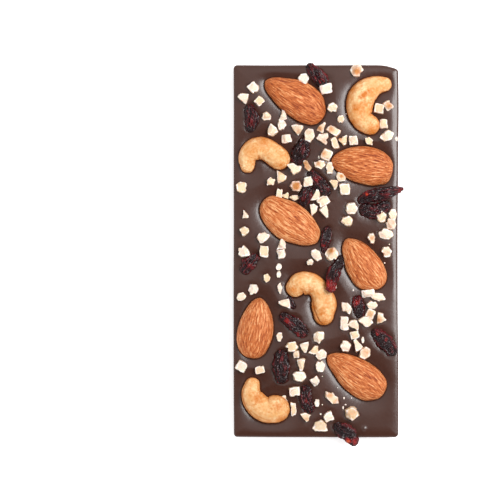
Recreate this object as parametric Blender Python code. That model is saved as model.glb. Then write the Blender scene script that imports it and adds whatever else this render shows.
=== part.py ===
"""Fruit and nut chocolate bar.

A thin slab of dark chocolate, cast in a shallow mould. Whole almonds, whole cashews, dried cranberries
and chopped nuts are pressed into the open face before it sets, and that face is up here. The origin is
the middle of the flat underside, +Z is up and +Y runs along the bar.
"""

import math
import random

import bmesh
import bpy
from mathutils import Matrix, Vector, noise

MM = 0.001

# The slab
LENGTH = 150 * MM
WIDTH = 66 * MM
THICK = 7.2 * MM
CORNER_RADIUS = 1.5 * MM
DRAFT = 1.0 * MM  # the mould's sides lean in this much towards the underside
FOOT_ROUND = 0.6 * MM
LIP_DROP = 1.1 * MM  # from the open face down to the widest line of the edge
BORDER = 2.8 * MM  # how far in from the edge the open face starts to roll down
CELLS_X, CELLS_Y = 17, 38
CORNER_STEPS = 2

# The open face sinks a little towards whatever is pressed into it
NUT_DIP, NUT_REACH = 0.85 * MM, 4.6 * MM
BERRY_DIP, BERRY_REACH = 0.35 * MM, 2.4 * MM
SWELL, SWELL_SCALE = 0.18 * MM, 55
RIM_REACH = 4.5 * MM  # near the rim the dips are shallower, down to this share of their depth
RIM_DIP = 0.25
WANDER, WANDER_SCALE = 0.45 * MM, 38  # how far the cast edge strays from a straight line

# The chocolate didn't quite fill the far right corner of the mould: how far that corner falls short,
# and how far this reaches across the bar and along it
BLUNT_CORNER = 1.35 * MM
BLUNT_ACROSS, BLUNT_ALONG = 3.9 * MM, 4.0 * MM

# Clearance between each topping and the chocolate round it, and the angle under which two faces are one
GAP = 0.38 * MM
FLAT_ANGLE = math.radians(1.5)

# How far the middle of each topping lies above the open face
ALMOND_RISE = 0.5 * MM
CASHEW_RISE = 0.7 * MM
BERRY_RISE = 0.35  # of the berry's own radius
CHIP_SINK = 1.0 * MM

ALMOND_THICK = 8.4 * MM
ALMOND_SIDES, ALMOND_RINGS = 12, 10
ALMOND_FOOT_TURNS = (0.9, 1.35, 1.8, 2.25)  # where the circles that cover its footprint sit
CASHEW_FLATNESS = 0.84
CASHEW_SIDES, CASHEW_RUNS, CASHEW_CAPS = 11, 8, 2
BERRY_FLATNESS = 0.8
BERRY_SIDES, BERRY_RUNS, BERRY_CAPS = 8, 4, 1
BERRY_FOLDS = 0.35
FOLD_SCALE = 420

# Almonds: x, y of the middle, length and width in millimetres, the way the tip points in degrees, how
# drawn out the tip is, and how full the left and the right flank are at each of the flank turns
END_FULLNESS = 0.12
FLANK_TURNS = (20, 55, 90, 125, 160)
ALMONDS = (
    (-8.7, 61.2, 27.6, 14.9, 148, 0.34, (1.00, 0.85, 0.87, 0.94, 1.06), (1.00, 0.96, 1.13, 1.13, 0.95)),
    (18.6, 34.7, 25.1, 15.6, 171, 0.33, (0.99, 0.94, 0.96, 1.02, 1.25), (0.99, 0.98, 0.99, 0.97, 0.93)),
    (-10.4, 11.9, 27.4, 15.3, -36, 0.15, (1.20, 1.03, 1.01, 0.90, 1.00), (0.86, 0.94, 1.05, 1.00, 1.00)),
    (19.2, -4.9, 24.1, 14.0, 126, 0.29, (1.08, 0.99, 1.10, 1.18, 0.80), (0.85, 0.94, 0.91, 0.92, 0.97)),
    (15.9, -49.9, 27.2, 14.6, 145, 0.39, (1.02, 0.88, 0.98, 1.01, 0.87), (0.97, 0.96, 0.97, 1.03, 1.18)),
    (-24.2, -31.0, 24.6, 14.2, 82, 0.32, (1.05, 0.97, 1.00, 1.05, 1.10), (0.95, 1.00, 1.00, 0.96, 1.00)),
)

# Cashews: points along the middle of the curved body, as x, y and radius in millimetres
CASHEWS = (
    (
        (27.5, 67.2, 3.0), (24.0, 66.7, 4.1), (19.5, 63.7, 5.4),
        (17.6, 59.3, 5.7), (18.4, 53.4, 4.7), (21.8, 50.9, 4.0),
    ),
    (
        (-15.0, 37.4, 4.6), (-19.7, 40.8, 4.6), (-23.9, 41.5, 4.7),
        (-27.4, 38.4, 3.9), (-27.6, 34.6, 3.0),
    ),
    (
        (-8.2, -14.6, 3.9), (-6.6, -13.1, 4.9), (-3.9, -12.8, 4.7), (-0.6, -13.6, 4.5),
        (1.7, -16.4, 4.1), (3.2, -19.9, 5.2), (3.2, -23.2, 5.0), (3.2, -25.6, 4.2),
    ),
    (
        (-16.3, -63.6, 5.7), (-19.6, -64.2, 5.3), (-23.3, -62.1, 5.0),
        (-26.0, -57.8, 4.3), (-25.6, -54.0, 3.1),
    ),
)

# Dried cranberries: points along each, as x, y, radius and lift above the others in millimetres
CRANBERRIES = (
    ((-2.3, 74.2, 1.8, 0), (0.0, 71.6, 2.7, 0), (2.0, 68.7, 2.9, 0)),
    ((-4.8, 43.4, 2.7, 0), (-6.1, 40.2, 3.8, 0), (-7.6, 36.8, 2.4, 0)),
    ((-1.2, 30.6, 2.4, 0), (1.2, 27.7, 3.0, 0), (3.7, 24.2, 2.5, 0)),
    ((-3.6, 25.0, 2.3, 0), (-4.6, 22.0, 2.9, 0), (-5.2, 19.6, 1.9, 0)),
    (
        (18.8, 20.8, 1.9, 0.8), (22.6, 22.2, 2.7, 1.2), (27.1, 23.2, 2.9, 1.2),
        (31.3, 24.2, 2.3, 1.0), (34.4, 25.0, 1.0, 1.0),
    ),
    ((20.2, 16.6, 2.8, 0), (23.8, 16.0, 2.8, 0), (27.9, 18.2, 2.4, 0)),
    ((4.6, 8.4, 1.8, 0), (4.0, 4.9, 2.2, 0), (3.2, 1.0, 1.5, 0)),
    ((10.1, -3.6, 2.0, 0), (7.3, -8.8, 2.5, 1.2), (5.9, -14.7, 2.2, 5.2)),
    ((-10.6, -19.2, 1.2, 0), (-9.2, -22.0, 1.3, 0)),
    ((17.0, -19.9, 2.1, 0), (17.0, -22.1, 2.5, 0), (17.5, -25.0, 2.0, 0)),
    ((24.6, -33.4, 2.5, 0), (27.9, -36.7, 3.2, 0), (30.3, -39.6, 2.8, 0)),
    ((-12.5, -26.8, 2.4, 0), (-8.8, -29.4, 2.9, 0), (-5.4, -32.2, 2.6, 0)),
    ((-13.9, -42.4, 2.8, 0), (-13.9, -46.3, 3.6, 0), (-13.7, -50.6, 2.8, 0)),
    ((-4.0, -56.0, 2.3, 0), (-4.0, -60.0, 2.8, 0), (-2.8, -63.4, 2.1, 0)),
    ((9.4, -71.0, 2.5, 0.2), (12.5, -73.7, 3.4, 0.2), (14.8, -76.2, 2.6, 0)),
    ((-26.8, 56.8, 2.3, 0), (-25.6, 53.4, 3.0, 0), (-26.2, 50.2, 2.4, 0)),
    ((-25.0, -3.0, 2.2, 0), (-26.8, -5.2, 2.8, 0), (-28.4, -7.2, 2.1, 0)),
)

# Chopped nuts: each is cut to one of these outlines, one unit wide and deep
CHIP_OUTLINES = {
    "block": ((-0.50, -0.40), (0.42, -0.50), (0.50, 0.40), (-0.40, 0.50)),
    "wedge": ((-0.50, -0.50), (0.50, -0.38), (0.22, 0.46), (-0.04, 0.50)),
    "kite": ((-0.50, 0.34), (-0.10, 0.50), (0.50, 0.30), (0.34, -0.18), (0.04, -0.50)),
    "round": ((-0.50, 0.06), (-0.24, 0.46), (0.26, 0.50), (0.50, 0.02), (0.24, -0.48), (-0.28, -0.44)),
    "sliver": ((-0.50, -0.10), (-0.22, 0.42), (0.24, 0.50), (0.50, -0.04), (0.05, -0.50)),
    "dome": ((-0.50, -0.20), (-0.30, 0.34), (0.06, 0.50), (0.38, 0.08), (0.50, -0.50), (-0.28, -0.48)),
}

# Chopped nuts: outline, x, y, width and depth in millimetres, and turn in degrees, from the top down.
# The outlines are this much wider at the foot, and the top of each is between these shares as wide.
CHIP_FLARE = 1.08
CHIP_TOP = (0.76, 0.92)
CHIPS = (
    ("round", -4.9, 69.3, 4.8, 4.8, 0),
    ("block", 4.1, 65.4, 5.6, 4.2, 18),
    ("round", 16.5, 72.7, 5.6, 5.0, 0),
    ("round", 6.7, 57.7, 4.4, 4.2, 20),
    ("round", 10.0, 53.1, 3.0, 3.6, 0),
    ("wedge", -13.3, 54.8, 3.6, 4.8, 0),
    ("round", -13.8, 50.7, 3.8, 4.2, 0),
    ("block", 25.5, 57.5, 4.2, 4.4, -5),
    ("block", 29.1, 58.7, 3.4, 4.2, 35),
    ("block", 27.3, 51.3, 3.6, 4.2, 8),
    ("round", 28.6, 46.4, 6.0, 4.2, 20),
    ("wedge", 11.3, 44.6, 4.2, 3.8, 200),
    ("block", 15.1, 44.6, 3.8, 4.2, 10),
    ("sliver", 21.4, 44.3, 4.8, 3.2, -45),
    ("kite", -7.5, 48.9, 5.0, 5.0, 0),
    ("round", -2.6, 46.6, 4.6, 5.8, -15),
    ("block", -11.7, 45.3, 4.6, 3.8, 12),
    ("wedge", 2.2, 50.0, 3.6, 4.8, -30),
    ("block", 7.1, 48.6, 5.8, 3.6, -28),
    ("kite", 2.9, 45.0, 5.2, 5.2, 25),
    ("block", 7.5, 43.7, 3.0, 5.6, 25),
    ("block", 4.2, 38.9, 4.4, 5.0, -20),
    ("round", 1.5, 35.0, 4.8, 3.6, -15),
    ("round", 5.6, 33.5, 3.4, 5.6, 0),
    ("kite", -9.0, 33.0, 6.8, 5.0, -10),
    ("sliver", -3.7, 34.6, 6.0, 2.6, -62),
    ("wedge", -13.8, 30.0, 5.6, 4.2, -90),
    ("block", -3.2, 28.0, 4.2, 4.4, 15),
    ("round", -8.0, 26.2, 5.2, 4.4, 0),
    ("round", 10.2, 30.0, 4.8, 4.2, 10),
    ("wedge", 7.1, 27.3, 4.2, 4.2, 60),
    ("block", 11.7, 24.9, 4.4, 5.2, 12),
    ("block", -14.7, 23.1, 2.8, 4.8, 0),
    ("kite", -12.3, 22.2, 3.6, 2.8, 30),
    ("sliver", -8.7, 21.5, 4.6, 2.4, -5),
    ("wedge", 0.0, 22.6, 3.8, 5.2, -10),
    ("block", 2.9, 20.2, 5.4, 4.4, 35),
    ("kite", -1.2, 16.8, 3.8, 5.8, -12),
    ("wedge", 3.8, 15.9, 3.8, 5.2, 210),
    ("round", 14.2, 17.2, 5.6, 4.8, 0),
    ("round", 12.4, 12.0, 5.2, 4.2, 10),
    ("round", 26.2, 13.9, 4.8, 5.0, 20),
    ("round", 30.9, 14.8, 3.8, 4.6, 0),
    ("round", 30.3, 11.0, 4.6, 4.8, 0),
    ("round", 28.2, 6.9, 6.6, 4.6, -12),
    ("round", 22.5, 5.1, 3.4, 4.4, 0),
    ("round", 28.4, -0.2, 4.4, 4.6, 10),
    ("wedge", -13.8, 2.9, 4.2, 4.8, 0),
    ("block", -14.0, -1.1, 3.6, 4.0, 20),
    ("round", 0.2, -1.6, 4.0, 5.2, 35),
    ("round", -2.3, -4.3, 2.8, 2.8, 0),
    ("round", 6.4, -1.3, 5.8, 5.6, 10),
    ("sliver", -14.5, -15.1, 5.0, 2.4, 90),
    ("wedge", -12.7, -21.1, 4.4, 5.2, 90),
    ("block", 21.0, -17.0, 5.6, 3.4, 12),
    ("sliver", 25.0, -18.6, 6.6, 3.8, -14),
    ("sliver", 12.2, -22.9, 6.0, 4.0, -58),
    ("block", 11.5, -29.0, 3.8, 6.2, 5),
    ("round", 22.6, -21.7, 4.8, 3.4, -10),
    ("block", 21.8, -25.3, 3.8, 4.6, -18),
    ("kite", 25.8, -27.1, 5.0, 4.6, -40),
    ("sliver", 20.0, -28.3, 6.4, 4.6, -10),
    ("kite", 15.4, -30.1, 4.4, 5.0, 30),
    ("block", 15.6, -33.7, 4.0, 3.4, 20),
    ("round", 12.0, -38.2, 4.4, 4.8, 0),
    ("wedge", 16.5, -37.9, 3.8, 5.2, 30),
    ("round", 19.8, -40.9, 4.8, 6.0, -25),
    ("round", -14.6, -34.6, 2.6, 3.8, 0),
    ("round", 1.2, -34.6, 4.6, 5.2, -20),
    ("round", -9.8, -38.6, 5.4, 4.2, 0),
    ("block", -7.9, -41.6, 2.8, 3.4, 10),
    ("wedge", -4.4, -38.9, 3.8, 4.4, 190),
    ("wedge", -0.6, -39.7, 4.4, 4.2, -15),
    ("round", 2.1, -41.8, 5.4, 4.0, 25),
    ("wedge", -5.7, -45.7, 4.2, 5.2, 180),
    ("round", 1.7, -46.4, 4.4, 4.8, 10),
    ("round", -6.7, -50.4, 5.8, 4.4, -10),
    ("block", -0.2, -52.5, 3.6, 3.8, 40),
    ("block", -8.6, -56.6, 4.6, 4.2, 12),
    ("wedge", -13.2, -59.4, 4.0, 3.0, 0),
    ("block", -9.0, -64.0, 2.4, 6.4, 5),
    ("round", 6.4, -59.0, 7.2, 3.8, -42),
    ("kite", -4.2, -67.1, 4.6, 3.8, 0),
    ("block", 4.9, -66.7, 4.2, 4.2, 28),
    ("dome", 1.9, -70.4, 6.9, 4.8, 0),
    ("round", 14.4, -65.4, 6.0, 5.6, -20),
)

# More chopped nuts along the left strip, spread by a rule
STRIP_CHIPS = 17
STRIP_X = (-30.6 * MM, -17.6 * MM)
STRIP_Y = (-64.0 * MM, 71.0 * MM)
STRIP_SPACING = 5.6 * MM
STRIP_CLEAR = 2.6 * MM


def wipe_scene():
    for obj in list(bpy.data.objects):
        bpy.data.objects.remove(obj)


def make_material(name, colour, roughness):
    material = bpy.data.materials.new(name)
    material.use_nodes = True
    shader = material.node_tree.nodes["Principled BSDF"]
    shader.inputs["Base Color"].default_value = (*colour, 1.0)
    shader.inputs["Roughness"].default_value = roughness
    shader.inputs["Metallic"].default_value = 0.0
    material.diffuse_color = (*colour, 1.0)
    return material


def make_object(name, bm, material=None):
    bmesh.ops.recalc_face_normals(bm, faces=bm.faces)
    mesh = bpy.data.meshes.new(name)
    bm.to_mesh(mesh)
    bm.free()
    obj = bpy.data.objects.new(name, mesh)
    bpy.context.scene.collection.objects.link(obj)
    if material:
        mesh.materials.append(material)
    return obj


def smooth_curve(points, count):
    """Evenly many places on a Catmull-Rom curve through the points, which are vectors of any size."""
    ends = [2 * points[0] - points[1], *points, 2 * points[-1] - points[-2]]
    places = []
    for step in range(count):
        at = step / (count - 1) * (len(points) - 1)
        piece = min(int(at), len(points) - 2)
        t = at - piece
        a, b, c, d = ends[piece : piece + 4]
        places.append(
            b + 0.5 * t * (c - a + t * (2 * a - 5 * b + 4 * c - d + t * (3 * (b - c) + d - a)))
        )
    return places


def almond_profile(turn, taper):
    """Half width of an almond, one at its widest. The angle is 0 at the tip and pi at the blunt end."""
    widest = 2 * math.atan(math.sqrt(1 + taper))
    width = max(math.sin(turn), 1e-9) ** (1 - END_FULLNESS) * math.sin(turn / 2) ** taper
    return width / (math.sin(widest) * math.sin(widest / 2) ** taper)


def flank(turn, shares):
    """How full a flank is at an angle, going evenly from one of its shares to the next."""
    place = (math.degrees(turn) - FLANK_TURNS[0]) / (FLANK_TURNS[1] - FLANK_TURNS[0])
    place = min(max(place, 0), len(shares) - 1)
    before = min(int(place), len(shares) - 2)
    ease = (1 - math.cos(math.pi * (place - before))) / 2
    return shares[before] + (shares[before + 1] - shares[before]) * ease


def footprint(kind, row):
    """Circles that cover a topping as seen from above: x, y and radius of each, in metres."""
    if kind != "almond":
        return [Vector(point[:3]) * MM for point in row]
    x, y, length, width, tip, taper, left, right = row
    axis = Vector((math.cos(math.radians(tip)), math.sin(math.radians(tip))))
    circles = []
    for turn in ALMOND_FOOT_TURNS:
        along = math.cos(turn) * length / 2
        radius = almond_profile(turn, taper) * width / 2
        circles.append(Vector((x + axis.x * along, y + axis.y * along, radius)) * MM)
    return circles


NUT_FEET = [footprint("almond", row) for row in ALMONDS] + [footprint("cashew", row) for row in CASHEWS]
BERRY_FEET = [footprint("cranberry", row) for row in CRANBERRIES]


def clearance(x, y, feet):
    """Distance from a place to the nearest of these toppings' outlines, negative inside one."""
    nearest = WIDTH
    for circles in feet:
        for a, b in zip(circles, circles[1:]):
            run = (b - a).to_2d()
            t = min(max((Vector((x, y)) - a.to_2d()).dot(run) / run.length_squared, 0), 1)
            near = a.lerp(b, t)
            nearest = min(nearest, math.hypot(x - near.x, y - near.y) - near.z)
    return nearest


def open_face(x, y):
    """Height of the chocolate's open face."""
    nut = max(clearance(x, y, NUT_FEET), 0) / NUT_REACH
    berry = max(clearance(x, y, BERRY_FEET), 0) / BERRY_REACH
    swell = noise.noise(Vector((x, y, 0)) * SWELL_SCALE)
    inside = max(min(WIDTH / 2 - abs(x), LENGTH / 2 - abs(y)), 0)
    level = 1 - math.exp(-((inside / RIM_REACH) ** 2))
    dip = NUT_DIP * math.exp(-nut * nut) + BERRY_DIP * math.exp(-berry * berry)
    return THICK + SWELL * swell - dip * (RIM_DIP + (1 - RIM_DIP) * level)


def side_step(step, count, half, radius):
    """Place along one side of a rounded rectangle, and how far its corner has turned in there."""
    from_corner = min(step, count - step)
    if from_corner <= CORNER_STEPS:
        turn = math.pi / 4 * (1 - from_corner / CORNER_STEPS)
        along, inward = half - radius + radius * math.sin(turn), radius * (1 - math.cos(turn))
        return (-along if step <= CORNER_STEPS else along), inward
    run = (step - CORNER_STEPS) / (count - 2 * CORNER_STEPS)
    return (half - radius) * (2 * run - 1), 0.0


def edge_wander(x, y):
    """The cast edge isn't quite straight."""
    return WANDER * noise.noise(Vector((x, y, 2 * THICK)) * WANDER_SCALE)


def corner_shortfall(x, y):
    """How far the slab falls short at a place near its blunt corner."""
    across, along = (WIDTH / 2 - x) / BLUNT_ACROSS, (LENGTH / 2 - y) / BLUNT_ALONG
    return BLUNT_CORNER * math.exp(-across * across - along * along)


def slab_loop(inset, radius, wander):
    """Points round the slab at a distance in from its nominal outline, matched to the face's border."""
    loop = []
    half_x, half_y = WIDTH / 2 - inset, LENGTH / 2 - inset
    for side in range(4):
        turn = Matrix.Rotation(side * math.pi / 2, 2)
        count, half, depth = (CELLS_X, half_x, half_y) if side % 2 == 0 else (CELLS_Y, half_y, half_x)
        for step in range(count):
            along, inward = side_step(step, count, half, radius)
            place = turn @ Vector((along, inward - depth))
            shift = wander * edge_wander(place.x, place.y)
            loop.append(place + turn @ Vector((0, -shift)))
    return loop


def make_slab(material):
    """The open face is a grid of cells. Rings round it make the rolled edge, the leaning side and foot."""
    bm = bmesh.new()
    half_x, half_y = WIDTH / 2 - BORDER, LENGTH / 2 - BORDER
    grid = {}
    for i in range(CELLS_X + 1):
        for j in range(CELLS_Y + 1):
            x, y = half_x * (2 * i / CELLS_X - 1), half_y * (2 * j / CELLS_Y - 1)
            grid[i, j] = bm.verts.new((x, y, open_face(x, y)))
    for i in range(CELLS_X):
        for j in range(CELLS_Y):
            bm.faces.new((grid[i, j], grid[i + 1, j], grid[i + 1, j + 1], grid[i, j + 1]))
    border = [grid[i, 0] for i in range(CELLS_X)]
    border += [grid[CELLS_X, j] for j in range(CELLS_Y)]
    border += [grid[CELLS_X - i, CELLS_Y] for i in range(CELLS_X)]
    border += [grid[0, CELLS_Y - j] for j in range(CELLS_Y)]
    rings = (
        (1.2 * MM, 0.7 * CORNER_RADIUS, 1.0, 0.14 * MM),
        (0.35 * MM, 0.9 * CORNER_RADIUS, 1.0, 0.5 * MM),
        (0.0, CORNER_RADIUS, 1.0, LIP_DROP),
    )
    for inset, radius, wander, drop in rings:
        loop = [
            bm.verts.new((place.x, place.y, open_face(place.x, place.y) - drop))
            for place in slab_loop(inset, radius, wander)
        ]
        join_loops(bm, border, loop)
        border = loop
    for inset, height in ((DRAFT, FOOT_ROUND), (DRAFT + FOOT_ROUND, 0.0)):
        loop = [bm.verts.new((*place, height)) for place in slab_loop(inset, CORNER_RADIUS, 0.0)]
        join_loops(bm, border, loop)
        border = loop
    bm.faces.new(border)
    for vert in bm.verts:
        vert.co.y -= corner_shortfall(vert.co.x, vert.co.y)
    return make_object("chocolate_slab", bm, material)


def join_loops(bm, inner, outer):
    count = len(inner)
    for k in range(count):
        after = (k + 1) % count
        bm.faces.new((inner[k], outer[k], outer[after], inner[after]))


def make_almond(name, row, material):
    """An egg-shaped kernel, flatter than it is wide, with one pointed end and uneven flanks."""
    x, y, length, width, tip, taper, left, right = row
    bm = bmesh.new()
    bmesh.ops.create_uvsphere(bm, u_segments=ALMOND_SIDES, v_segments=ALMOND_RINGS, radius=1)
    for vert in bm.verts:
        turn = math.acos(min(max(vert.co.z, -1), 1))
        across = max(math.sin(turn), 1e-6)
        slim = almond_profile(turn, taper) / across
        lefthand = (1 + vert.co.x / across) / 2
        full = flank(turn, left) * lefthand + flank(turn, right) * (1 - lefthand)
        vert.co = Vector((
            vert.co.z * length * MM / 2,
            vert.co.x * width * MM / 2 * slim * full,
            vert.co.y * ALMOND_THICK / 2 * slim**0.7,
        ))
    height = THICK + ALMOND_RISE
    place = Matrix.Translation((x * MM, y * MM, height)) @ Matrix.Rotation(math.radians(tip), 4, "Z")
    bmesh.ops.transform(bm, matrix=place, verts=bm.verts)
    return make_object(name, bm, material)


def rolled_stations(spine, runs, cap_rings):
    """Middle, heading and radius of each ring along a body with round ends, and its two end points."""
    places = smooth_curve(spine, runs)
    stations = []
    for k, place in enumerate(places):
        heading = places[min(k + 1, runs - 1)] - places[max(k - 1, 0)]
        stations.append((place.to_3d(), heading.to_3d().normalized(), place.w))
    ends = []
    for way in (-1, 1):
        middle, heading, radius = stations[0] if way < 0 else stations[-1]
        caps = []
        for k in range(1, cap_rings + 1):
            turn = math.pi / 2 * k / (cap_rings + 1)
            place = middle + way * heading * radius * math.sin(turn)
            caps.append((place, heading, radius * math.cos(turn)))
        stations = caps[::-1] + stations if way < 0 else stations + caps
        ends.append(middle + way * heading * radius)
    return stations, ends


def make_rolled(name, spine, flatness, rings, folds, material):
    """A round-ended body along a curve of x, y, z and radius. Folds is how deep its wrinkles are."""
    sides, runs, cap_rings = rings
    stations, ends = rolled_stations(spine, runs, cap_rings)
    bm = bmesh.new()
    loops = []
    for middle, heading, radius in stations:
        across = Vector((-heading.y, heading.x, 0)).normalized()
        up = heading.cross(across)
        loop = []
        for k in range(sides):
            turn = 2 * math.pi * k / sides
            way = radius * (across * math.cos(turn) + up * flatness * math.sin(turn))
            crease = 1 + folds * noise.noise((middle + way) * FOLD_SCALE)
            loop.append(bm.verts.new(middle + way * crease))
        loops.append(loop)
    for inner, outer in zip(loops, loops[1:]):
        join_loops(bm, inner, outer)
    for loop, end in zip((loops[0], loops[-1]), ends):
        pole = bm.verts.new(end)
        for k in range(sides):
            bm.faces.new((loop[k], loop[(k + 1) % sides], pole))
    return make_object(name, bm, material)


def make_cashew(name, row, material):
    spine = [Vector((x * MM, y * MM, THICK + CASHEW_RISE, radius * MM)) for x, y, radius in row]
    rings = (CASHEW_SIDES, CASHEW_RUNS, CASHEW_CAPS)
    return make_rolled(name, spine, CASHEW_FLATNESS, rings, 0.0, material)


def make_cranberry(name, row, material):
    spine = []
    for x, y, radius, lift in row:
        height = THICK - BERRY_DIP + (BERRY_RISE * radius + lift) * MM
        spine.append(Vector((x * MM, y * MM, height, radius * MM)))
    rings = (BERRY_SIDES, BERRY_RUNS, BERRY_CAPS)
    return make_rolled(name, spine, BERRY_FLATNESS, rings, BERRY_FOLDS, material)


def make_chip(kind, x, y, width, depth, turn, chance):
    """One chopped piece: its outline at the foot, and a smaller, tilted one on top."""
    bm = bmesh.new()
    rise = chance.uniform(0.42, 0.56) * min(width, depth) + 0.5 * MM
    lean = Vector((chance.uniform(-0.35, 0.35), chance.uniform(-0.35, 0.35)))
    place = Matrix.Translation((x, y, open_face(x, y))) @ Matrix.Rotation(math.radians(turn), 4, "Z")
    for px, py in CHIP_OUTLINES[kind]:
        low = Vector((px * width * CHIP_FLARE, py * depth * CHIP_FLARE, -CHIP_SINK))
        shrink = chance.uniform(*CHIP_TOP)
        high = Vector((low.x * shrink, low.y * shrink, rise))
        high.z += high.x * lean.x + high.y * lean.y
        bm.verts.new(place @ low)
        bm.verts.new(place @ high)
    hull = bmesh.ops.convex_hull(bm, input=bm.verts)
    spare = {item for item in hull["geom_interior"] if isinstance(item, bmesh.types.BMVert)}
    bmesh.ops.delete(bm, geom=list(spare), context="VERTS")
    return make_object("chip", bm)


def strip_rows(chance):
    """Places for the chopped nuts of the left strip, apart from each other and clear of the toppings."""
    rows = []
    while len(rows) < STRIP_CHIPS:
        x, y = chance.uniform(*STRIP_X), chance.uniform(*STRIP_Y)
        kind = chance.choice(sorted(CHIP_OUTLINES))
        size, slim, turn = chance.uniform(3.4, 5.2), chance.uniform(0.7, 1.0), chance.uniform(0, 360)
        crowded = any(math.hypot(x - row[1] * MM, y - row[2] * MM) < STRIP_SPACING for row in rows)
        if not crowded and clearance(x, y, NUT_FEET + BERRY_FEET) > STRIP_CLEAR:
            rows.append((kind, x / MM, y / MM, size, size * slim, turn))
    return rows


def make_chips():
    chance = random.Random(7)
    for kind, x, y, width, depth, turn in (*CHIPS, *strip_rows(chance)):
        yield make_chip(kind, x * MM, y * MM, width * MM, depth * MM, turn, chance)


def swollen(obj):
    """A copy of a topping, larger all round by the gap, to cut its bed with."""
    copy = bpy.data.objects.new(obj.name + "_bed", obj.data.copy())
    bpy.context.scene.collection.objects.link(copy)
    for vert in copy.data.vertices:
        vert.co += vert.normal * GAP
    return copy


def apply_boolean(obj, operation, others):
    """One Boolean with all the others, applied. They stay in the scene."""
    group = bpy.data.collections.new("others")
    for other in others:
        group.objects.link(other)
    modifier = obj.modifiers.new(operation.lower(), "BOOLEAN")
    modifier.operation = operation
    modifier.operand_type = "COLLECTION"
    modifier.collection = group
    modifier.solver = "EXACT"
    depsgraph = bpy.context.evaluated_depsgraph_get()
    shaped = bpy.data.meshes.new_from_object(obj.evaluated_get(depsgraph))
    obj.modifiers.clear()
    obj.data = shaped
    bpy.data.collections.remove(group)


def keep_main_body(obj):
    """Joins faces that lie in one plane again, and drops the loose scraps that a cut leaves."""
    bm = bmesh.new()
    bm.from_mesh(obj.data)
    bmesh.ops.dissolve_limit(bm, angle_limit=FLAT_ANGLE, verts=bm.verts, edges=bm.edges)
    bmesh.ops.triangulate(bm, faces=bm.faces)
    unseen = set(bm.verts)
    bodies = []
    while unseen:
        edge = [unseen.pop()]
        body = set(edge)
        while edge:
            vert = edge.pop()
            for link in vert.link_edges:
                other = link.other_vert(vert)
                if other in unseen:
                    unseen.discard(other)
                    body.add(other)
                    edge.append(other)
        bodies.append(body)
    bodies.sort(key=len)
    for scrap in bodies[:-1]:
        bmesh.ops.delete(bm, geom=list(scrap), context="VERTS")
    bm.to_mesh(obj.data)
    bm.free()


def near(first, second):
    """Whether the boxes round two objects come within the gap of each other."""
    boxes = []
    for obj in (first, second):
        corners = [vert.co for vert in obj.data.vertices]
        boxes.append([(min(c[k] for c in corners), max(c[k] for c in corners)) for k in range(3)])
    return all(a[0] < b[1] + GAP and b[0] < a[1] + GAP for a, b in zip(*boxes))


def shade(obj, angle):
    obj.data.shade_smooth()
    obj.data.set_sharp_from_angle(angle=math.radians(angle))


def main():
    wipe_scene()
    chocolate = make_material("dark_chocolate", (0.060, 0.030, 0.022), 0.38)
    skin = make_material("almond_skin", (0.56, 0.20, 0.065), 0.6)
    roasted = make_material("roasted_cashew", (0.83, 0.52, 0.24), 0.5)
    dried = make_material("dried_cranberry", (0.10, 0.008, 0.012), 0.3)

    toppings = [make_almond(f"almond_{k}", row, skin) for k, row in enumerate(ALMONDS, 1)]
    toppings += [make_cashew(f"cashew_{k}", row, roasted) for k, row in enumerate(CASHEWS, 1)]
    beds = {topping: swollen(topping) for topping in toppings}
    for k, row in enumerate(CRANBERRIES, 1):
        berry = make_cranberry(f"cranberry_{k}", row, dried)
        bed = swollen(berry)
        touched = [beds[other] for other in toppings if near(berry, beds[other])]
        if touched:
            apply_boolean(berry, "DIFFERENCE", touched)
            keep_main_body(berry)
        beds[berry] = bed
        toppings.append(berry)

    slab = make_slab(chocolate)
    chips = list(make_chips())
    apply_boolean(slab, "UNION", chips)
    apply_boolean(slab, "DIFFERENCE", list(beds.values()))
    keep_main_body(slab)
    for helper in (*chips, *beds.values()):
        bpy.data.objects.remove(helper)
    for obj in (slab, *toppings):
        shade(obj, 40)


main()
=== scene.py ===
import math
import random

import bpy
import numpy as np
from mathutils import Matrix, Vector, noise
from mathutils.bvhtree import BVHTree
from mathutils.kdtree import KDTree


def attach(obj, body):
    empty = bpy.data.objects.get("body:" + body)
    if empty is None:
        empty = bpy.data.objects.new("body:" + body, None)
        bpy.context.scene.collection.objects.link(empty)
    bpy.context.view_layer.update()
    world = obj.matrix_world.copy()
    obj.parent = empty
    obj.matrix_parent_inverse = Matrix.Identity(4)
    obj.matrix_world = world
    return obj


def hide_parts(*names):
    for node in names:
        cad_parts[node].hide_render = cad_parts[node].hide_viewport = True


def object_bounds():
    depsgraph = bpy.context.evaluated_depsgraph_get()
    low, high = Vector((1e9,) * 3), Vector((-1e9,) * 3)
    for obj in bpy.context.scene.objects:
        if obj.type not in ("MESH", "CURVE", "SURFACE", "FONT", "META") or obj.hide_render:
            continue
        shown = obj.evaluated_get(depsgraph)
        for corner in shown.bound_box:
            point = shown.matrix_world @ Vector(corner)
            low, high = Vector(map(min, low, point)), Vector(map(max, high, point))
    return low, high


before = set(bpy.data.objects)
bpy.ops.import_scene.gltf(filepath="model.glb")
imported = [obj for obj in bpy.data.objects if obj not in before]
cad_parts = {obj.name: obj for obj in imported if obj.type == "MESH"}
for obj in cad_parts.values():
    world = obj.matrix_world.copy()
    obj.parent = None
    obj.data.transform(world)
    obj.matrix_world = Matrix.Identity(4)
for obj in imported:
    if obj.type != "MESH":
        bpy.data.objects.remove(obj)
cad_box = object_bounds()
noise.seed_set(1)  # the vector noise starts from the clock otherwise

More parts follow.
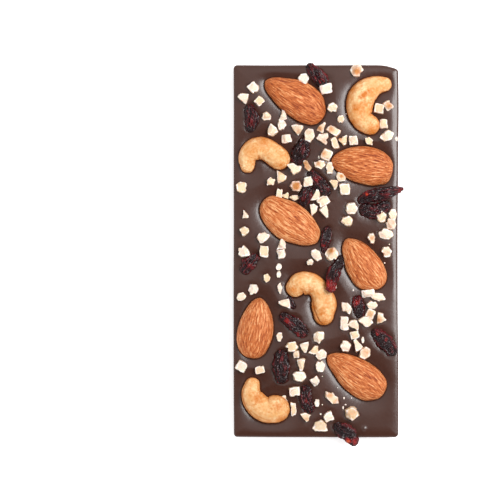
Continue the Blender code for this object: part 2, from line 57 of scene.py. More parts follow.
# The slab is dark chocolate, poured into a shallow mould with its open face up. The face rolls over
# into a thin lip where it met the mould, and the moulded sides lean in towards the flat underside.
MM = 0.001
SLAB_LENGTH = 150 * MM
SLAB_WIDTH = 66.3 * MM
FACE_HEIGHT = 7.2 * MM
CORNER_RADIUS = 1.5 * MM
DRAFT = 1.0 * MM
FOOT_ROUND = 0.6 * MM
LIP_ROLL, LIP_DROP = 0.42 * MM, 0.35 * MM
LIP_BEND = 1.25  # the lip's curve is an arc where this is 2, and a chamfer where it is 1
MENISCUS, MENISCUS_REACH = 0.76 * MM, 1.3 * MM  # the fall of the face towards the lip
SWELL, SWELL_SCALE = 0.14 * MM, 55  # soft rises of the face, and how close together they lie
RIPPLE, RIPPLE_SCALE = 0.03 * MM, 170
WANDER, WANDER_SCALE = 0.20 * MM, 38  # how far the cast edge strays from a straight line
CELL = 0.36 * MM
LIP_STEPS, SIDE_STEPS, FOOT_STEPS = 9, 4, 3
SLAB_CREASE = math.radians(50)  # edges that are sharper than this stay sharp
# The face falls less towards the lip along the near end of the bar
FLAT_RIM, FLAT_RIM_START, FLAT_RIM_EASE = 0.5, -18 * MM, 5 * MM
# The right side swells out a little just short of the far corner
BULGE, BULGE_MIDDLE, BULGE_HALF = 0.35 * MM, 57 * MM, 14 * MM
# The chocolate didn't quite fill the far right corner of the mould
BLUNT_CORNER, BLUNT_ACROSS, BLUNT_ALONG = 1.35 * MM, 3.9 * MM, 4.0 * MM
# A small air bubble lifts the face at the near end
BLISTER_X, BLISTER_Y = 19.4 * MM, -71.6 * MM
BLISTER_RADIUS, BLISTER_RISE = 0.75 * MM, 0.34 * MM
TRIM = 0.02 * MM  # every piece ends at least this far inside the solids' box
box_low = np.array(cad_box[0]) + (TRIM, TRIM, 0)
box_high = np.array(cad_box[1]) - TRIM


def add_primitive(name, operator, **size):
    """One of Blender's primitives, added with nothing else selected."""
    bpy.ops.object.select_all(action="DESELECT")
    operator(**size)
    piece = bpy.context.object
    piece.name = piece.data.name = name
    return piece


def read_points(piece):
    points = np.empty(len(piece.data.vertices) * 3)
    piece.data.vertices.foreach_get("co", points)
    return points.reshape(-1, 3)


def place_points(piece, points):
    """Writes points that aren't in their place in the bar yet."""
    piece.data.vertices.foreach_set("co", points.ravel())
    piece.data.update()


def write_points(piece, points):
    """Writes points in their place in the bar, kept inside the solids' box."""
    place_points(piece, np.clip(points, box_low, box_high))


def ripples(points, scale):
    """Soft noise from about -1 to 1 at each point."""
    return np.array([noise.noise(Vector(point) * scale) for point in points])


def meniscus(inset):
    """How far the face has sunk towards its lip at a distance in from the slab's edge."""
    return MENISCUS * np.exp(-inset / MENISCUS_REACH)


def lip_drop(inset):
    """How far the face and its lip have fallen at a distance in from the slab's edge."""
    rolled = np.clip(1 - inset / LIP_ROLL, 0, 1)
    return LIP_DROP * (1 - (1 - rolled**LIP_BEND) ** (1 / LIP_BEND)) + meniscus(inset)


def edge_rings():
    """Rings from the face's border over the lip, down the side and under the foot: inset and height."""
    rings = [(CORNER_RADIUS, FACE_HEIGHT - lip_drop(CORNER_RADIUS))]
    for step in range(1, LIP_STEPS + 1):
        inset = CORNER_RADIUS * (1 - math.sin(math.pi / 2 * step / LIP_STEPS))
        rings.append((inset, FACE_HEIGHT - lip_drop(inset)))
    widest = rings[-1][1]
    for step in range(1, SIDE_STEPS + 1):
        share = step / SIDE_STEPS
        rings.append((DRAFT * share, widest + (FOOT_ROUND - widest) * share))
    for step in range(1, FOOT_STEPS + 1):
        turn = math.pi / 2 * step / FOOT_STEPS
        rings.append((DRAFT + FOOT_ROUND * (1 - math.cos(turn)), FOOT_ROUND * (1 - math.sin(turn))))
    return np.array(rings)


def across_slab(index, count, half, rings):
    """Where a row of the sheet lies across the slab, and how many rings out over the edge it is."""
    inner = count - 2 * rings
    along = (2 * np.clip(index - rings, 0, inner) / inner - 1) * half
    return along, index - rings - np.clip(index - rings, 0, inner)


rings = edge_rings()
over = len(rings) - 1
half_x, half_y = SLAB_WIDTH / 2 - CORNER_RADIUS, SLAB_LENGTH / 2 - CORNER_RADIUS
cells_x = round(2 * half_x / CELL) + 2 * over
cells_y = round(2 * half_y / CELL) + 2 * over
slab = add_primitive(
    "slab_of_chocolate",
    bpy.ops.mesh.primitive_grid_add,
    x_subdivisions=cells_x,
    y_subdivisions=cells_y,
    size=1,
)
sheet = read_points(slab)
column = np.rint((sheet[:, 0] + 0.5) * cells_x)
row = np.rint((sheet[:, 1] + 0.5) * cells_y)
base_x, out_x = across_slab(column, cells_x, half_x, over)
base_y, out_y = across_slab(row, cells_y, half_y, over)
ring = np.maximum(abs(out_x), abs(out_y)).astype(int)
reached = np.maximum(ring, 1)
share = np.where(abs(out_x) == ring, abs(out_y) / reached / 2, 1 - abs(out_x) / reached / 2)
corner_turn = share * math.pi / 2
outward = np.stack([np.sign(out_x) * np.cos(corner_turn), np.sign(out_y) * np.sin(corner_turn)], axis=1)
outward[ring == 0] = 0
inside = np.minimum(half_x - abs(base_x), half_y - abs(base_y)) + CORNER_RADIUS
inset = np.where(ring > 0, rings[ring, 0], inside)
on_face = np.clip(1 - (ring - LIP_STEPS) / SIDE_STEPS, 0, 1)
stray = np.array([
    noise.noise(Vector((x, y, 2 * FACE_HEIGHT)) * WANDER_SCALE) if share else 0
    for x, y, share in zip(base_x, base_y, ring * on_face)
])
reach = np.where(ring > 0, CORNER_RADIUS - rings[ring, 0] + WANDER * stray * on_face, 0)
bulge = BULGE * np.exp(-(((base_y - BULGE_MIDDLE) / BULGE_HALF) ** 2)) * (out_x > 0)
sheet[:, 0] = base_x + outward[:, 0] * (reach + bulge * on_face)
sheet[:, 1] = base_y + outward[:, 1] * reach
near_corner = ((SLAB_WIDTH / 2 - sheet[:, 0]) / BLUNT_ACROSS) ** 2
near_corner += ((SLAB_LENGTH / 2 - sheet[:, 1]) / BLUNT_ALONG) ** 2
sheet[:, 1] -= BLUNT_CORNER * np.exp(-near_corner)
level = sheet * (1, 1, 0)
sheet[:, 2] = np.where(ring > 0, rings[ring, 1], FACE_HEIGHT - lip_drop(inset))
sheet[:, 2] += on_face * (SWELL * ripples(level, SWELL_SCALE) + RIPPLE * ripples(level, RIPPLE_SCALE))
near_end = FLAT_RIM / (1 + np.exp((base_y - FLAT_RIM_START) / FLAT_RIM_EASE))
sheet[:, 2] += on_face * near_end * meniscus(inset)
from_blister = np.hypot(sheet[:, 0] - BLISTER_X, sheet[:, 1] - BLISTER_Y) / BLISTER_RADIUS
sheet[:, 2] += on_face * BLISTER_RISE * np.exp(-(from_blister**2))
write_points(slab, sheet)
poured = sheet.copy()
bpy.ops.object.mode_set(mode="EDIT")
bpy.ops.mesh.select_all(action="DESELECT")
bpy.ops.mesh.select_mode(type="EDGE")
bpy.ops.mesh.select_non_manifold()
bpy.ops.mesh.edge_face_add()
bpy.ops.mesh.select_all(action="SELECT")
bpy.ops.mesh.normals_make_consistent(inside=False)
bpy.ops.object.mode_set(mode="OBJECT")
bpy.ops.object.shade_smooth_by_angle(angle=SLAB_CREASE)


class Wire:
    """A socket of a material's nodes, so that a pattern's sums read as sums."""

    def __init__(self, tree, socket):
        self.tree, self.socket = tree, socket

    def sum(self, operation, first, second=0.0):
        node = self.tree.nodes.new("ShaderNodeMath")
        node.operation = operation
        for slot, value in zip(node.inputs, (first, second)):
            fill(self.tree, slot, value)
        return Wire(self.tree, node.outputs[0])

    def __add__(self, other):
        return self.sum("ADD", self, other)

    def __radd__(self, other):
        return self.sum("ADD", other, self)

    def __sub__(self, other):
        return self.sum("SUBTRACT", self, other)

    def __rsub__(self, other):
        return self.sum("SUBTRACT", other, self)

    def __mul__(self, other):
        return self.sum("MULTIPLY", self, other)

    def __rmul__(self, other):
        return self.sum("MULTIPLY", other, self)


def fill(tree, slot, value):
    """Puts a number or a colour on a socket, or leads a wire to it."""
    if isinstance(value, Wire):
        tree.links.new(value.socket, slot)
    else:
        slot.default_value = value


def add_node(tree, kind, settings, sockets, output=0):
    """A node with its settings, and the values or wires of its sockets, as the wire that leaves it."""
    made = tree.nodes.new(kind)
    for name, value in settings.items():
        if name == "stops":
            while len(made.color_ramp.elements) < len(value):
                made.color_ramp.elements.new(1.0)
            for stop, (place, shade) in zip(made.color_ramp.elements, value):
                stop.position, stop.color = place, shade
        else:
            setattr(made, name, value)
    for name, value in sockets.items():
        fill(tree, made.inputs[name], value)
    return Wire(tree, made.outputs[output])


def grey_stops(*stops):
    return [(place, (grey, grey, grey, 1)) for place, grey in stops]


class Finish:
    """A material, made from its shader's fixed values and the nodes that are added to it."""

    def __init__(self, name, **fixed):
        self.material = bpy.data.materials.new(name)
        self.material.use_nodes = True
        self.tree = self.material.node_tree
        self.shader = self.tree.nodes["Principled BSDF"]
        self.lead(**fixed)

    def lead(self, **values):
        """Puts values or wires on the shader's sockets, which are named in small letters."""
        for name, value in values.items():
            socket = name.replace("_", " ").title().replace("Ior", "IOR")
            fill(self.tree, self.shader.inputs[socket], value)

    def node(self, kind, settings, sockets, output=0):
        return add_node(self.tree, kind, settings, sockets, output)

    def place(self):
        """Where a point lies in the bar."""
        return self.node("ShaderNodeTexCoord", {}, {}, output="Object")

    def height(self, way):
        """How high up a place lies, or how far a direction looks up."""
        return self.node("ShaderNodeSeparateXYZ", {}, {"Vector": way}, output="Z")

    def upright(self):
        """How far the surface looks up: 1 where it lies flat, and 0 where it stands."""
        return self.height(self.node("ShaderNodeNewGeometry", {}, {}, output="Normal"))

    def noise(self, place, scale, detail=2.0, roughness=0.5):
        sockets = {"Vector": place, "Scale": scale, "Detail": detail, "Roughness": roughness}
        return self.node("ShaderNodeTexNoise", {}, sockets)

    def ramp(self, value, *stops):
        """A number led through grey stops of place and value."""
        return self.node("ShaderNodeValToRGB", {"stops": grey_stops(*stops)}, {"Fac": value})

    def blend(self, share, first, second):
        """One colour going over into another."""
        return self.node("ShaderNodeMix", {"data_type": "RGBA"}, {0: share, 6: first, 7: second}, output=2)

    def attribute(self, name, output="Fac"):
        """A number, or a place in a pattern, kept at each point of the mesh."""
        return self.node("ShaderNodeAttribute", {"attribute_name": name}, {}, output=output)

    def bump(self, height, depth):
        """Small relief in the look of the surface."""
        sockets = {"Strength": 1.0, "Distance": depth, "Height": height}
        self.lead(normal=self.node("ShaderNodeBump", {}, sockets))


def colour(red, green, blue):
    """A colour as an eye reads it off a screen, turned into light."""
    shades = [c / 255 for c in (red, green, blue)]
    return tuple(c / 12.92 if c < 0.04 else ((c + 0.055) / 1.055) ** 2.4 for c in shades) + (1,)


COCOA, WARM_COCOA, LIT_LIP_COCOA = colour(55, 30, 22), colour(70, 40, 30), colour(92, 44, 32)
chocolate = Finish("dark_chocolate", ior=1.5)
where = chocolate.place()
cloud = chocolate.noise(where, 60, 3)
speck = chocolate.noise(where, 700, 3, 0.6)
# Painted light: the steep lip near the top is painted a redder brown for the light that it catches and
# lets through. It is rougher there too.
edge = chocolate.ramp(chocolate.upright(), (0.15, 1), (0.80, 0))
lit_lip = edge * chocolate.ramp(chocolate.height(where) * 100, (0.50, 0), (0.62, 1))
body = chocolate.blend(cloud * 0.6 + speck * 0.4, COCOA, WARM_COCOA)
chocolate.lead(
    base_color=chocolate.blend(lit_lip * 0.8, body, LIT_LIP_COCOA),
    roughness=0.18 + cloud * 0.05 + speck * 0.04 + lit_lip * 0.35,
)
chocolate.bump(speck, 0.02 * MM)


def finish_piece(piece, finish, slot, *nodes):
    piece.data.materials.append(finish.material)
    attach(piece, "root")
    if nodes:
        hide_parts(*nodes)


finish_piece(slab, chocolate, "dark_chocolate", "chocolate_slab")

# Whatever is pressed into the soft face draws it down all round, most of all right beside it, and lies
# in a bed of its own shape. Close to the rim, where the chocolate has begun to set, the face sinks less.
RIM_REACH, RIM_DIP = 4.5 * MM, 0.25
BED_GAP = 0.03 * MM
WIDE = 0.25  # how much of a dip is wide and soft, as a share of it; the rest is steep
STEEP = 0.38  # how far the steep part of a dip reaches, as a share of its wide part
OUTLINE_BAND = 0.6 * MM  # how near the face a piece's points are its outline there
rim_ease = RIM_DIP + (1 - RIM_DIP) * (1 - np.exp(-((np.maximum(inset, 0) / RIM_REACH) ** 2)))


def press_face(pieces, depth, reach):
    """Draws the face down round these pieces, by how far it is from where they pass through it."""
    outline = np.concatenate([read_points(piece) for piece in pieces])
    outline = outline[abs(outline[:, 2] - FACE_HEIGHT) < OUTLINE_BAND]
    tree = KDTree(len(outline))
    for index, (x, y, _) in enumerate(outline):
        tree.insert((x, y, 0), index)
    tree.balance()
    points = read_points(slab)
    gap = np.array([tree.find((x, y, 0))[2] for x, y, _ in points]) / reach
    dip = depth * (WIDE * np.exp(-(gap**2)) + (1 - WIDE) * np.exp(-gap / STEEP)) * rim_ease * on_face
    points[:, 2] = np.minimum(points[:, 2], poured[:, 2] - dip)
    write_points(slab, points)


def bed_down(pieces):
    """Lowers the face under these pieces to where they touch it."""
    points = read_points(slab)
    for piece in pieces:
        body = read_points(piece)
        low, high = body.min(0), body.max(0)
        tree = BVHTree.FromPolygons(body.tolist(), [tuple(face.vertices) for face in piece.data.polygons])
        under = (ring < LIP_STEPS) & (points[:, :2] > low[:2]).all(1) & (points[:, :2] < high[:2]).all(1)
        for index in np.nonzero(under)[0]:
            x, y, z = points[index]
            hit = tree.ray_cast(Vector((x, y, 0)), Vector((0, 0, 1)))[0]
            if hit and hit.z - BED_GAP < z:
                points[index, 2] = hit.z - BED_GAP
    write_points(slab, points)


# The almonds are whole raw kernels in their brown skin, laid flat. The skin is dry and dusty, and it
# has shrunk into fine lengthwise wrinkles that meet at both ends.
ALMOND_THICK = 8.4 * MM
ALMOND_RISE = 0.5 * MM
ALMOND_SEGMENTS, ALMOND_RINGS = 160, 100
THICK_TAPER = 0.7  # below 1, the thickness falls off more slowly towards the ends than the width
WRINKLE_DEPTH = 0.17 * MM
WRINKLES = 9  # how close together they lie
WRINKLE_SWAY = 0.14  # how far they wander round the body, as an angle
END_FADE = 2.5  # how quickly a body's relief dies out at its ends
STRANDS, STRAND_STRETCH = 13, 0.9  # how close together the fine lines lie, and how short they are
LINES = 7  # how close together the thin creases between them lie, which are painted dark as shade
NUT_DIP, NUT_REACH = 0.72 * MM, 4.6 * MM
END_FULLNESS = 0.12  # how much blunter than a pointed egg both ends are
FLANK_TURNS = (20, 55, 90, 125, 160)  # degrees from the tip
# x, y of the middle, length and width in millimetres, the way the tip points in degrees, how drawn out
# the tip is, and how full the left and the right flank are at each of the flank turns
ALMONDS = (
    (-8.7, 61.2, 27.6, 14.9, 148, 0.34, (1.00, 0.85, 0.87, 0.94, 1.06), (1.00, 0.96, 1.13, 1.13, 0.95)),
    (18.6, 34.7, 25.1, 15.6, 171, 0.33, (0.99, 0.94, 0.96, 1.02, 1.25), (0.99, 0.98, 0.99, 0.97, 0.93)),
    (-10.4, 11.9, 27.4, 15.3, -36, 0.15, (1.20, 1.03, 1.01, 0.90, 1.00), (0.86, 0.94, 1.05, 1.00, 1.00)),
    (19.2, -4.9, 24.1, 14.0, 126, 0.29, (1.08, 0.99, 1.10, 1.18, 0.80), (0.85, 0.94, 0.91, 0.92, 0.97)),
    (15.9, -49.9, 27.2, 14.6, 145, 0.39, (1.02, 0.88, 0.98, 1.01, 0.87), (0.97, 0.96, 0.97, 1.03, 1.18)),
    (-24.2, -31.0, 24.6, 14.2, 82, 0.32, (1.05, 0.97, 1.00, 1.05, 1.10), (0.95, 1.00, 1.00, 0.96, 1.00)),
)
# How much lighter the skin of each is than the common skin
ALMOND_SHADES = (-0.10, -0.06, 0.05, 0.0, -0.03, 0.0)


def almond_profile(turn, taper):
    """Half width of an almond, one at its widest. The angle is 0 at the tip and pi at the blunt end."""
    widest = 2 * math.atan(math.sqrt(1 + taper))
    width = np.maximum(np.sin(turn), 1e-9) ** (1 - END_FULLNESS) * np.sin(turn / 2) ** taper
    return width / (math.sin(widest) * math.sin(widest / 2) ** taper)


def flank(turn, shares):
    """How full a flank is at an angle, going evenly from one of its shares to the next."""
    shares = np.array(shares)
    place = (np.degrees(turn) - FLANK_TURNS[0]) / (FLANK_TURNS[1] - FLANK_TURNS[0])
    place = np.clip(place, 0, len(shares) - 1)
    before = np.minimum(place.astype(int), len(shares) - 2)
    ease = (1 - np.cos(math.pi * (place - before))) / 2
    return shares[before] + (shares[before + 1] - shares[before]) * ease


def ball_angles(ball):
    """The angle of each point of a ball from its pole, and its angle round the ball."""
    return np.arccos(np.clip(ball[:, 2], -1, 1)), np.arctan2(ball[:, 1], ball[:, 0])


def off_ends(turn):
    """One over most of a body, and down to nothing at both of its ends."""
    return np.minimum(np.sin(turn) * END_FADE, 1)


def wound(turn, along, closeness):
    """A place in the noise that goes round with an angle and on with a distance along a body."""
    return Vector((math.cos(turn) * closeness, math.sin(turn) * closeness, along))


def wrinkles(around, along, closeness, seed):
    """Ridges drawn out along a body, which wander a little, fork and run together."""
    values = []
    for turn, share in zip(around, along):
        turn += WRINKLE_SWAY * noise.noise(wound(turn, share * 6 + seed, 1.7))
        broad = noise.noise(wound(turn, share * 4 + seed, closeness))
        crest = 1 - 4 * abs(noise.noise(wound(turn, share * 6 - seed, closeness * 1.3)))
        groove = 1 - 4 * abs(noise.noise(wound(turn, share * 5 + 2 * seed, closeness * 1.1)))
        values.append(0.5 * broad + 0.5 * max(crest, 0) - 0.6 * max(groove, 0))
    return np.array(values)


def turn_flat(points, degrees):
    """Turns points about the upright axis."""
    cos, sin = math.cos(math.radians(degrees)), math.sin(math.radians(degrees))
    return np.column_stack([points[:, :2] @ np.array(((cos, sin), (-sin, cos))), points[:, 2]])


def keep_value(piece, name, values):
    """Keeps a number at each point, for the material to read."""
    kept = piece.data.attributes.new(name, "FLOAT", "POINT")
    kept.data.foreach_set("value", values.astype(np.float32))


def keep_places(piece, name, places):
    """Keeps a place in a pattern at each point, for the material to read."""
    kept = piece.data.attributes.new(name, "FLOAT_VECTOR", "POINT")
    kept.data.foreach_set("vector", np.stack(places, axis=1).astype(np.float32).ravel())


def add_ball(name, segments, rings):
    """A ball to be shaped, whose poles become the two ends of a body."""
    sizes = {"segments": segments, "ring_count": rings, "radius": 1}
    return add_primitive(name, bpy.ops.mesh.primitive_uv_sphere_add, **sizes)


skin = Finish("almond_skin", ior=1.45, specular_ior_level=0.3)
relief = skin.attribute("relief")
dust = skin.noise(skin.place(), 1500, 3, 0.7)
patch = skin.noise(skin.place(), 140, 2)
strand = skin.attribute("strand", "Vector")
fibre = skin.noise(strand, STRANDS, 3, 0.65)
line = skin.noise(strand, LINES, 2, 0.5) - 0.5
crease = skin.ramp(line.sum("ABSOLUTE", line), (0.0, 1), (0.055, 0))
# Painted light and shade: the wrinkles' ridges are painted lighter, and their grooves and the thin creases
# darker. Fibre, dust, patches and each almond's lightness are the skin's own tone.
tone_and_wrinkle_shade = relief * 0.34 + fibre * 1.50 + dust * 0.35 + patch * 0.15 - crease * 0.22 - 0.40
skin_colours = [
    (0.15, colour(128, 52, 20)),
    (0.38, colour(172, 88, 40)),
    (0.60, colour(197, 113, 61)),
    (0.85, colour(228, 166, 114)),
]
skin.lead(
    base_color=skin.node(
        "ShaderNodeValToRGB", {"stops": skin_colours}, {"Fac": tone_and_wrinkle_shade + skin.attribute("shade")}
    ),
    roughness=0.50 + dust * 0.15,
)
skin.bump(dust * 0.4 + fibre - crease * 0.5, 0.16 * MM)

almonds = []
for number, (x, y, length, width, tip, taper, left, right) in enumerate(ALMONDS, 1):
    almond = add_ball(f"whole_almond_{number}", ALMOND_SEGMENTS, ALMOND_RINGS)
    ball = read_points(almond)
    turn, around = ball_angles(ball)
    across = np.maximum(np.sin(turn), 1e-6)
    slim = almond_profile(turn, taper) / across
    lefthand = (1 + ball[:, 1] / across) / 2
    full = flank(turn, left) * lefthand + flank(turn, right) * (1 - lefthand)
    fold = wrinkles(around, turn / math.pi, WRINKLES, 7.3 * number) * off_ends(turn)
    half_width, half_thick = width * MM / 2, ALMOND_THICK / 2
    body = np.stack([
        ball[:, 2] * length * MM / 2,
        ball[:, 1] * slim * full * (half_width + WRINKLE_DEPTH * fold),
        -ball[:, 0] * slim**THICK_TAPER * (half_thick + WRINKLE_DEPTH * fold),
    ], axis=1)
    write_points(almond, turn_flat(body, tip) + (x * MM, y * MM, FACE_HEIGHT + ALMOND_RISE))
    keep_value(almond, "relief", fold)
    keep_value(almond, "shade", np.full(len(ball), ALMOND_SHADES[number - 1]))
    along = turn / math.pi * STRAND_STRETCH + number
    keep_places(almond, "strand", (np.cos(around), np.sin(around), along))
    bpy.ops.object.shade_smooth()
    finish_piece(almond, skin, "almond_skin", f"almond_{number}")
    almonds.append(almond)


# The cashews are whole kernels, roasted to a pale gold with darker toasted spots. Each is a body
# curved like a comma, with fine ridges across it and a seam along it where its two halves meet.
CASHEW_FLATNESS = 0.84
CASHEW_RISE = 0.7 * MM
CASHEW_SEGMENTS, CASHEW_RINGS = 96, 150
CURVE_STEPS = 60
END_CROWD = 0.9  # how far the rings of a ball crowd towards the ends of its body
CASHEW_BUMPS = 0.20 * MM
CASHEW_LUMPS, CASHEW_RIDGES = 3.2, 15  # how close together they lie along the body
CASHEW_EVENING = 40  # how often each point is moved towards its neighbours
FIBRES, FIBRE_STRETCH = 5, 9  # how wide and how close together the fine lines across lie
# Points along the middle of each body, as x, y and radius in millimetres
CASHEWS = (
    (
        (27.5, 67.2, 3.0), (24.0, 66.7, 4.1), (19.5, 63.7, 5.4),
        (17.6, 59.3, 5.7), (18.4, 53.4, 4.7), (21.8, 50.9, 4.0),
    ),
    (
        (-15.0, 37.4, 4.6), (-19.7, 40.8, 4.6), (-23.9, 41.5, 4.7),
        (-27.4, 38.4, 3.9), (-27.6, 34.6, 3.0),
    ),
    (
        (-8.2, -14.6, 3.9), (-6.6, -13.1, 4.9), (-3.9, -12.8, 4.7), (-0.6, -13.6, 4.5),
        (1.7, -16.4, 4.1), (3.2, -19.9, 5.2), (3.2, -23.2, 5.0), (3.2, -25.6, 4.2),
    ),
    (
        (-16.3, -63.6, 5.7), (-19.6, -64.2, 5.3), (-23.3, -62.1, 5.0),
        (-26.0, -57.8, 4.3), (-25.6, -54.0, 3.1),
    ),
)
# Where the seam of each starts and ends, as the angle round its body from the underside
SEAM_TURNS = ((1.9, 1.9), (1.9, 1.9), (-1.7, -2.95), (1.9, 1.9))
SEAM_WIDTH, SEAM_DEPTH = 0.10, 2.8
SEAM_START, SEAM_EASE = 0.50, 8  # the share of the body's length where it starts, and how suddenly
# Toasted spots: x, y and radius in millimetres, and strength
CASHEW_TOAST = (
    (21.0, 64.3, 1.1, 0.6), (19.9, 63.4, 1.1, 0.8), (18.9, 62.6, 1.2, 0.9), (17.8, 61.8, 1.0, 0.7),
    (14.8, 65.0, 1.6, 0.45), (17.8, 57.5, 7.0, 0.20),
    (16.0, 57.6, 1.9, 0.6), (15.0, 52.2, 1.2, 0.5), (22.6, 48.2, 2.2, 0.6), (24.6, 50.2, 1.0, 0.6),
    (-9.6, -15.6, 2.0, 0.5), (-5.5, -16.4, 1.8, 0.45), (-2.2, -15.8, 1.2, 0.6), (2.6, -29.0, 2.6, 0.6),
    (-0.6, -22.5, 1.4, 0.7), (2.0, -24.8, 1.8, 0.5), (4.4, -13.6, 1.2, 0.7), (-15.0, -62.5, 2.2, 0.5),
    (-13.6, -67.5, 2.0, 0.45), (-21.0, 44.0, 2.5, 0.5), (-23.5, -59.0, 2.2, 0.5), (-14.0, 34.6, 1.6, 0.5),
)


def smooth_curve(points, count):
    """This many places on a Catmull-Rom curve through the points."""
    ends = [2 * points[0] - points[1], *points, 2 * points[-1] - points[-2]]
    places = []
    for step in range(count):
        at = step / (count - 1) * (len(points) - 1)
        first = min(int(at), len(points) - 2)
        t = at - first
        a, b, c, d = ends[first : first + 4]
        bend = 2 * a - 5 * b + 4 * c - d + t * (3 * (b - c) + d - a)
        places.append(b + 0.5 * t * (c - a + t * bend))
    return np.array(places)


def roll_body(ball, spine, flatness, swell):
    """Lays a ball's points along a curve of x, y, z and radius, as a body with round ends."""
    places = smooth_curve(spine, CURVE_STEPS)
    steps = np.linalg.norm(np.diff(places[:, :3], axis=0), axis=1)
    run = np.concatenate([[0], np.cumsum(steps)])
    first, last, length = places[0, 3], places[-1, 3], run[-1]
    turn, around = ball_angles(ball)
    share = 1 - turn / math.pi
    eased = share - END_CROWD * np.sin(2 * math.pi * share) / (2 * math.pi)
    along = eased * (first + length + last) - first
    middle = np.stack([np.interp(along, run, places[:, k]) for k in range(4)], axis=1)
    headings = np.gradient(places[:, :3], axis=0)
    heading = np.stack([np.interp(along, run, headings[:, k]) for k in range(3)], axis=1)
    heading /= np.linalg.norm(heading, axis=1, keepdims=True)
    beyond = along - np.clip(along, 0, length)
    cap = np.sqrt(np.maximum(1 - (beyond / middle[:, 3]) ** 2, 0))
    across = np.stack([-heading[:, 1], heading[:, 0], np.zeros(len(ball))], axis=1)
    across /= np.linalg.norm(across, axis=1, keepdims=True)
    up = np.cross(heading, across)
    radius = (middle[:, 3] * cap * swell)[:, None]
    body = middle[:, :3] + heading * beyond[:, None]
    body += across * np.sin(around)[:, None] * radius
    body += up * -np.cos(around)[:, None] * radius * flatness
    return body


def read_normals(piece):
    normals = np.empty(len(piece.data.vertices) * 3)
    piece.data.vertices.foreach_get("normal", normals)
    return normals.reshape(-1, 3)


def even_out(piece, times):
    """Takes the creases out of a body, where its curve is tight."""
    bpy.ops.object.mode_set(mode="EDIT")
    bpy.ops.mesh.select_all(action="SELECT")
    bpy.ops.mesh.vertices_smooth(factor=0.5, repeat=times)
    bpy.ops.object.mode_set(mode="OBJECT")


def wound_ripples(around, along, closeness):
    """Soft noise round a body and along it."""
    places = zip(around, along)
    return np.array([noise.noise(wound(turn, distance, closeness)) for turn, distance in places])


def spots_at(points, spots):
    """How strongly these spots colour each point, which takes the strongest of them."""
    strength = np.zeros(len(points))
    for x, y, radius, strong in spots:
        distance = np.hypot(points[:, 0] - x * MM, points[:, 1] - y * MM) / (radius * MM)
        strength = np.maximum(strength, strong * np.exp(-(distance**2)))
    return strength


CREAM, STRAW, GOLDEN = colour(234, 202, 154), colour(214, 158, 98), colour(204, 132, 66)
SHADED_SIDE_BROWN, TOASTED, SEAM_SHADE_BROWN = colour(196, 112, 46), colour(188, 104, 28), colour(176, 92, 36)
roast = Finish(
    "roasted_cashew", ior=1.45, specular_ior_level=0.3, subsurface_weight=0.04, subsurface_scale=0.001
)
mottle = roast.noise(roast.place(), 1150, 3, 0.6)
broad = roast.noise(roast.place(), 190, 3, 0.55)
fibre = roast.noise(roast.attribute("strand", "Vector"), FIBRES, 3, 0.6)
# Partly painted shade: the golden colour follows the roast's mottle and fibre, and it is painted deeper
# where the relief sinks, as shade in the hollows.
spots_and_hollow_shade = roast.ramp(mottle * 0.5 + fibre * 0.5 - roast.attribute("relief") * 0.40, (0.30, 0), (0.75, 1))
# Painted shade: the steep sides are painted browner, as if in shade.
shaded_side = roast.ramp(roast.upright() + broad * 0.4, (0.30, 1), (0.95, 0))
burnt = roast.ramp(roast.attribute("toast") + mottle * 0.7 + fibre * 0.5 - 0.55, (0.08, 0), (0.72, 1))
body = roast.blend(roast.ramp(broad, (0.30, 0), (0.70, 1)), CREAM, STRAW)
body = roast.blend(spots_and_hollow_shade * 0.85, body, GOLDEN)
body = roast.blend(shaded_side, body, SHADED_SIDE_BROWN)
body = roast.blend(burnt, body, TOASTED)
# Painted shade: the seam's groove is painted brown, like the shade in it.
roast.lead(
    base_color=roast.blend(roast.attribute("seam") * 0.75, body, SEAM_SHADE_BROWN),
    roughness=0.50 + mottle * 0.15,
)
roast.bump(mottle * 0.5 + fibre, 0.06 * MM)

cashews = []
for number, (rows, (seam_from, seam_to)) in enumerate(zip(CASHEWS, SEAM_TURNS), 1):
    cashew = add_ball(f"whole_cashew_{number}", CASHEW_SEGMENTS, CASHEW_RINGS)
    ball = read_points(cashew)
    turn, around = ball_angles(ball)
    lumps = wound_ripples(around, turn * CASHEW_LUMPS + 9 * number, 1.5)
    ridges = wound_ripples(around, turn * CASHEW_RIDGES - 5 * number, 3)
    lines = wrinkles(around, turn / math.pi, 4.5, 3.1 * number)
    share = (1 - turn / math.pi - SEAM_START) / (1 - SEAM_START)
    seam_turn = seam_from + (seam_to - seam_from) * np.clip(share, 0, 1)
    seam = np.exp(-(((around - seam_turn) / SEAM_WIDTH) ** 2)) * np.clip(share * SEAM_EASE, 0, 1)
    seam *= off_ends(turn)
    fold = (0.7 * lumps + 0.7 * ridges + 0.3 * lines) * off_ends(turn) - SEAM_DEPTH * seam
    spine = [np.array((x * MM, y * MM, FACE_HEIGHT + CASHEW_RISE, radius * MM)) for x, y, radius in rows]
    place_points(cashew, roll_body(ball, spine, CASHEW_FLATNESS, 1))
    even_out(cashew, CASHEW_EVENING)
    body = read_points(cashew) + read_normals(cashew) * CASHEW_BUMPS * fold[:, None]
    write_points(cashew, body)
    keep_value(cashew, "relief", fold)
    keep_value(cashew, "seam", seam)
    along = turn / math.pi * FIBRE_STRETCH + number
    keep_places(cashew, "strand", (np.cos(around), np.sin(around), along))
    keep_value(cashew, "toast", spots_at(body, CASHEW_TOAST))
    bpy.ops.object.shade_smooth()
    finish_piece(cashew, roast, "roasted_cashew", f"cashew_{number}")
    cashews.append(cashew)
press_face(almonds + cashews, NUT_DIP, NUT_REACH)
bed_down(almonds + cashews)

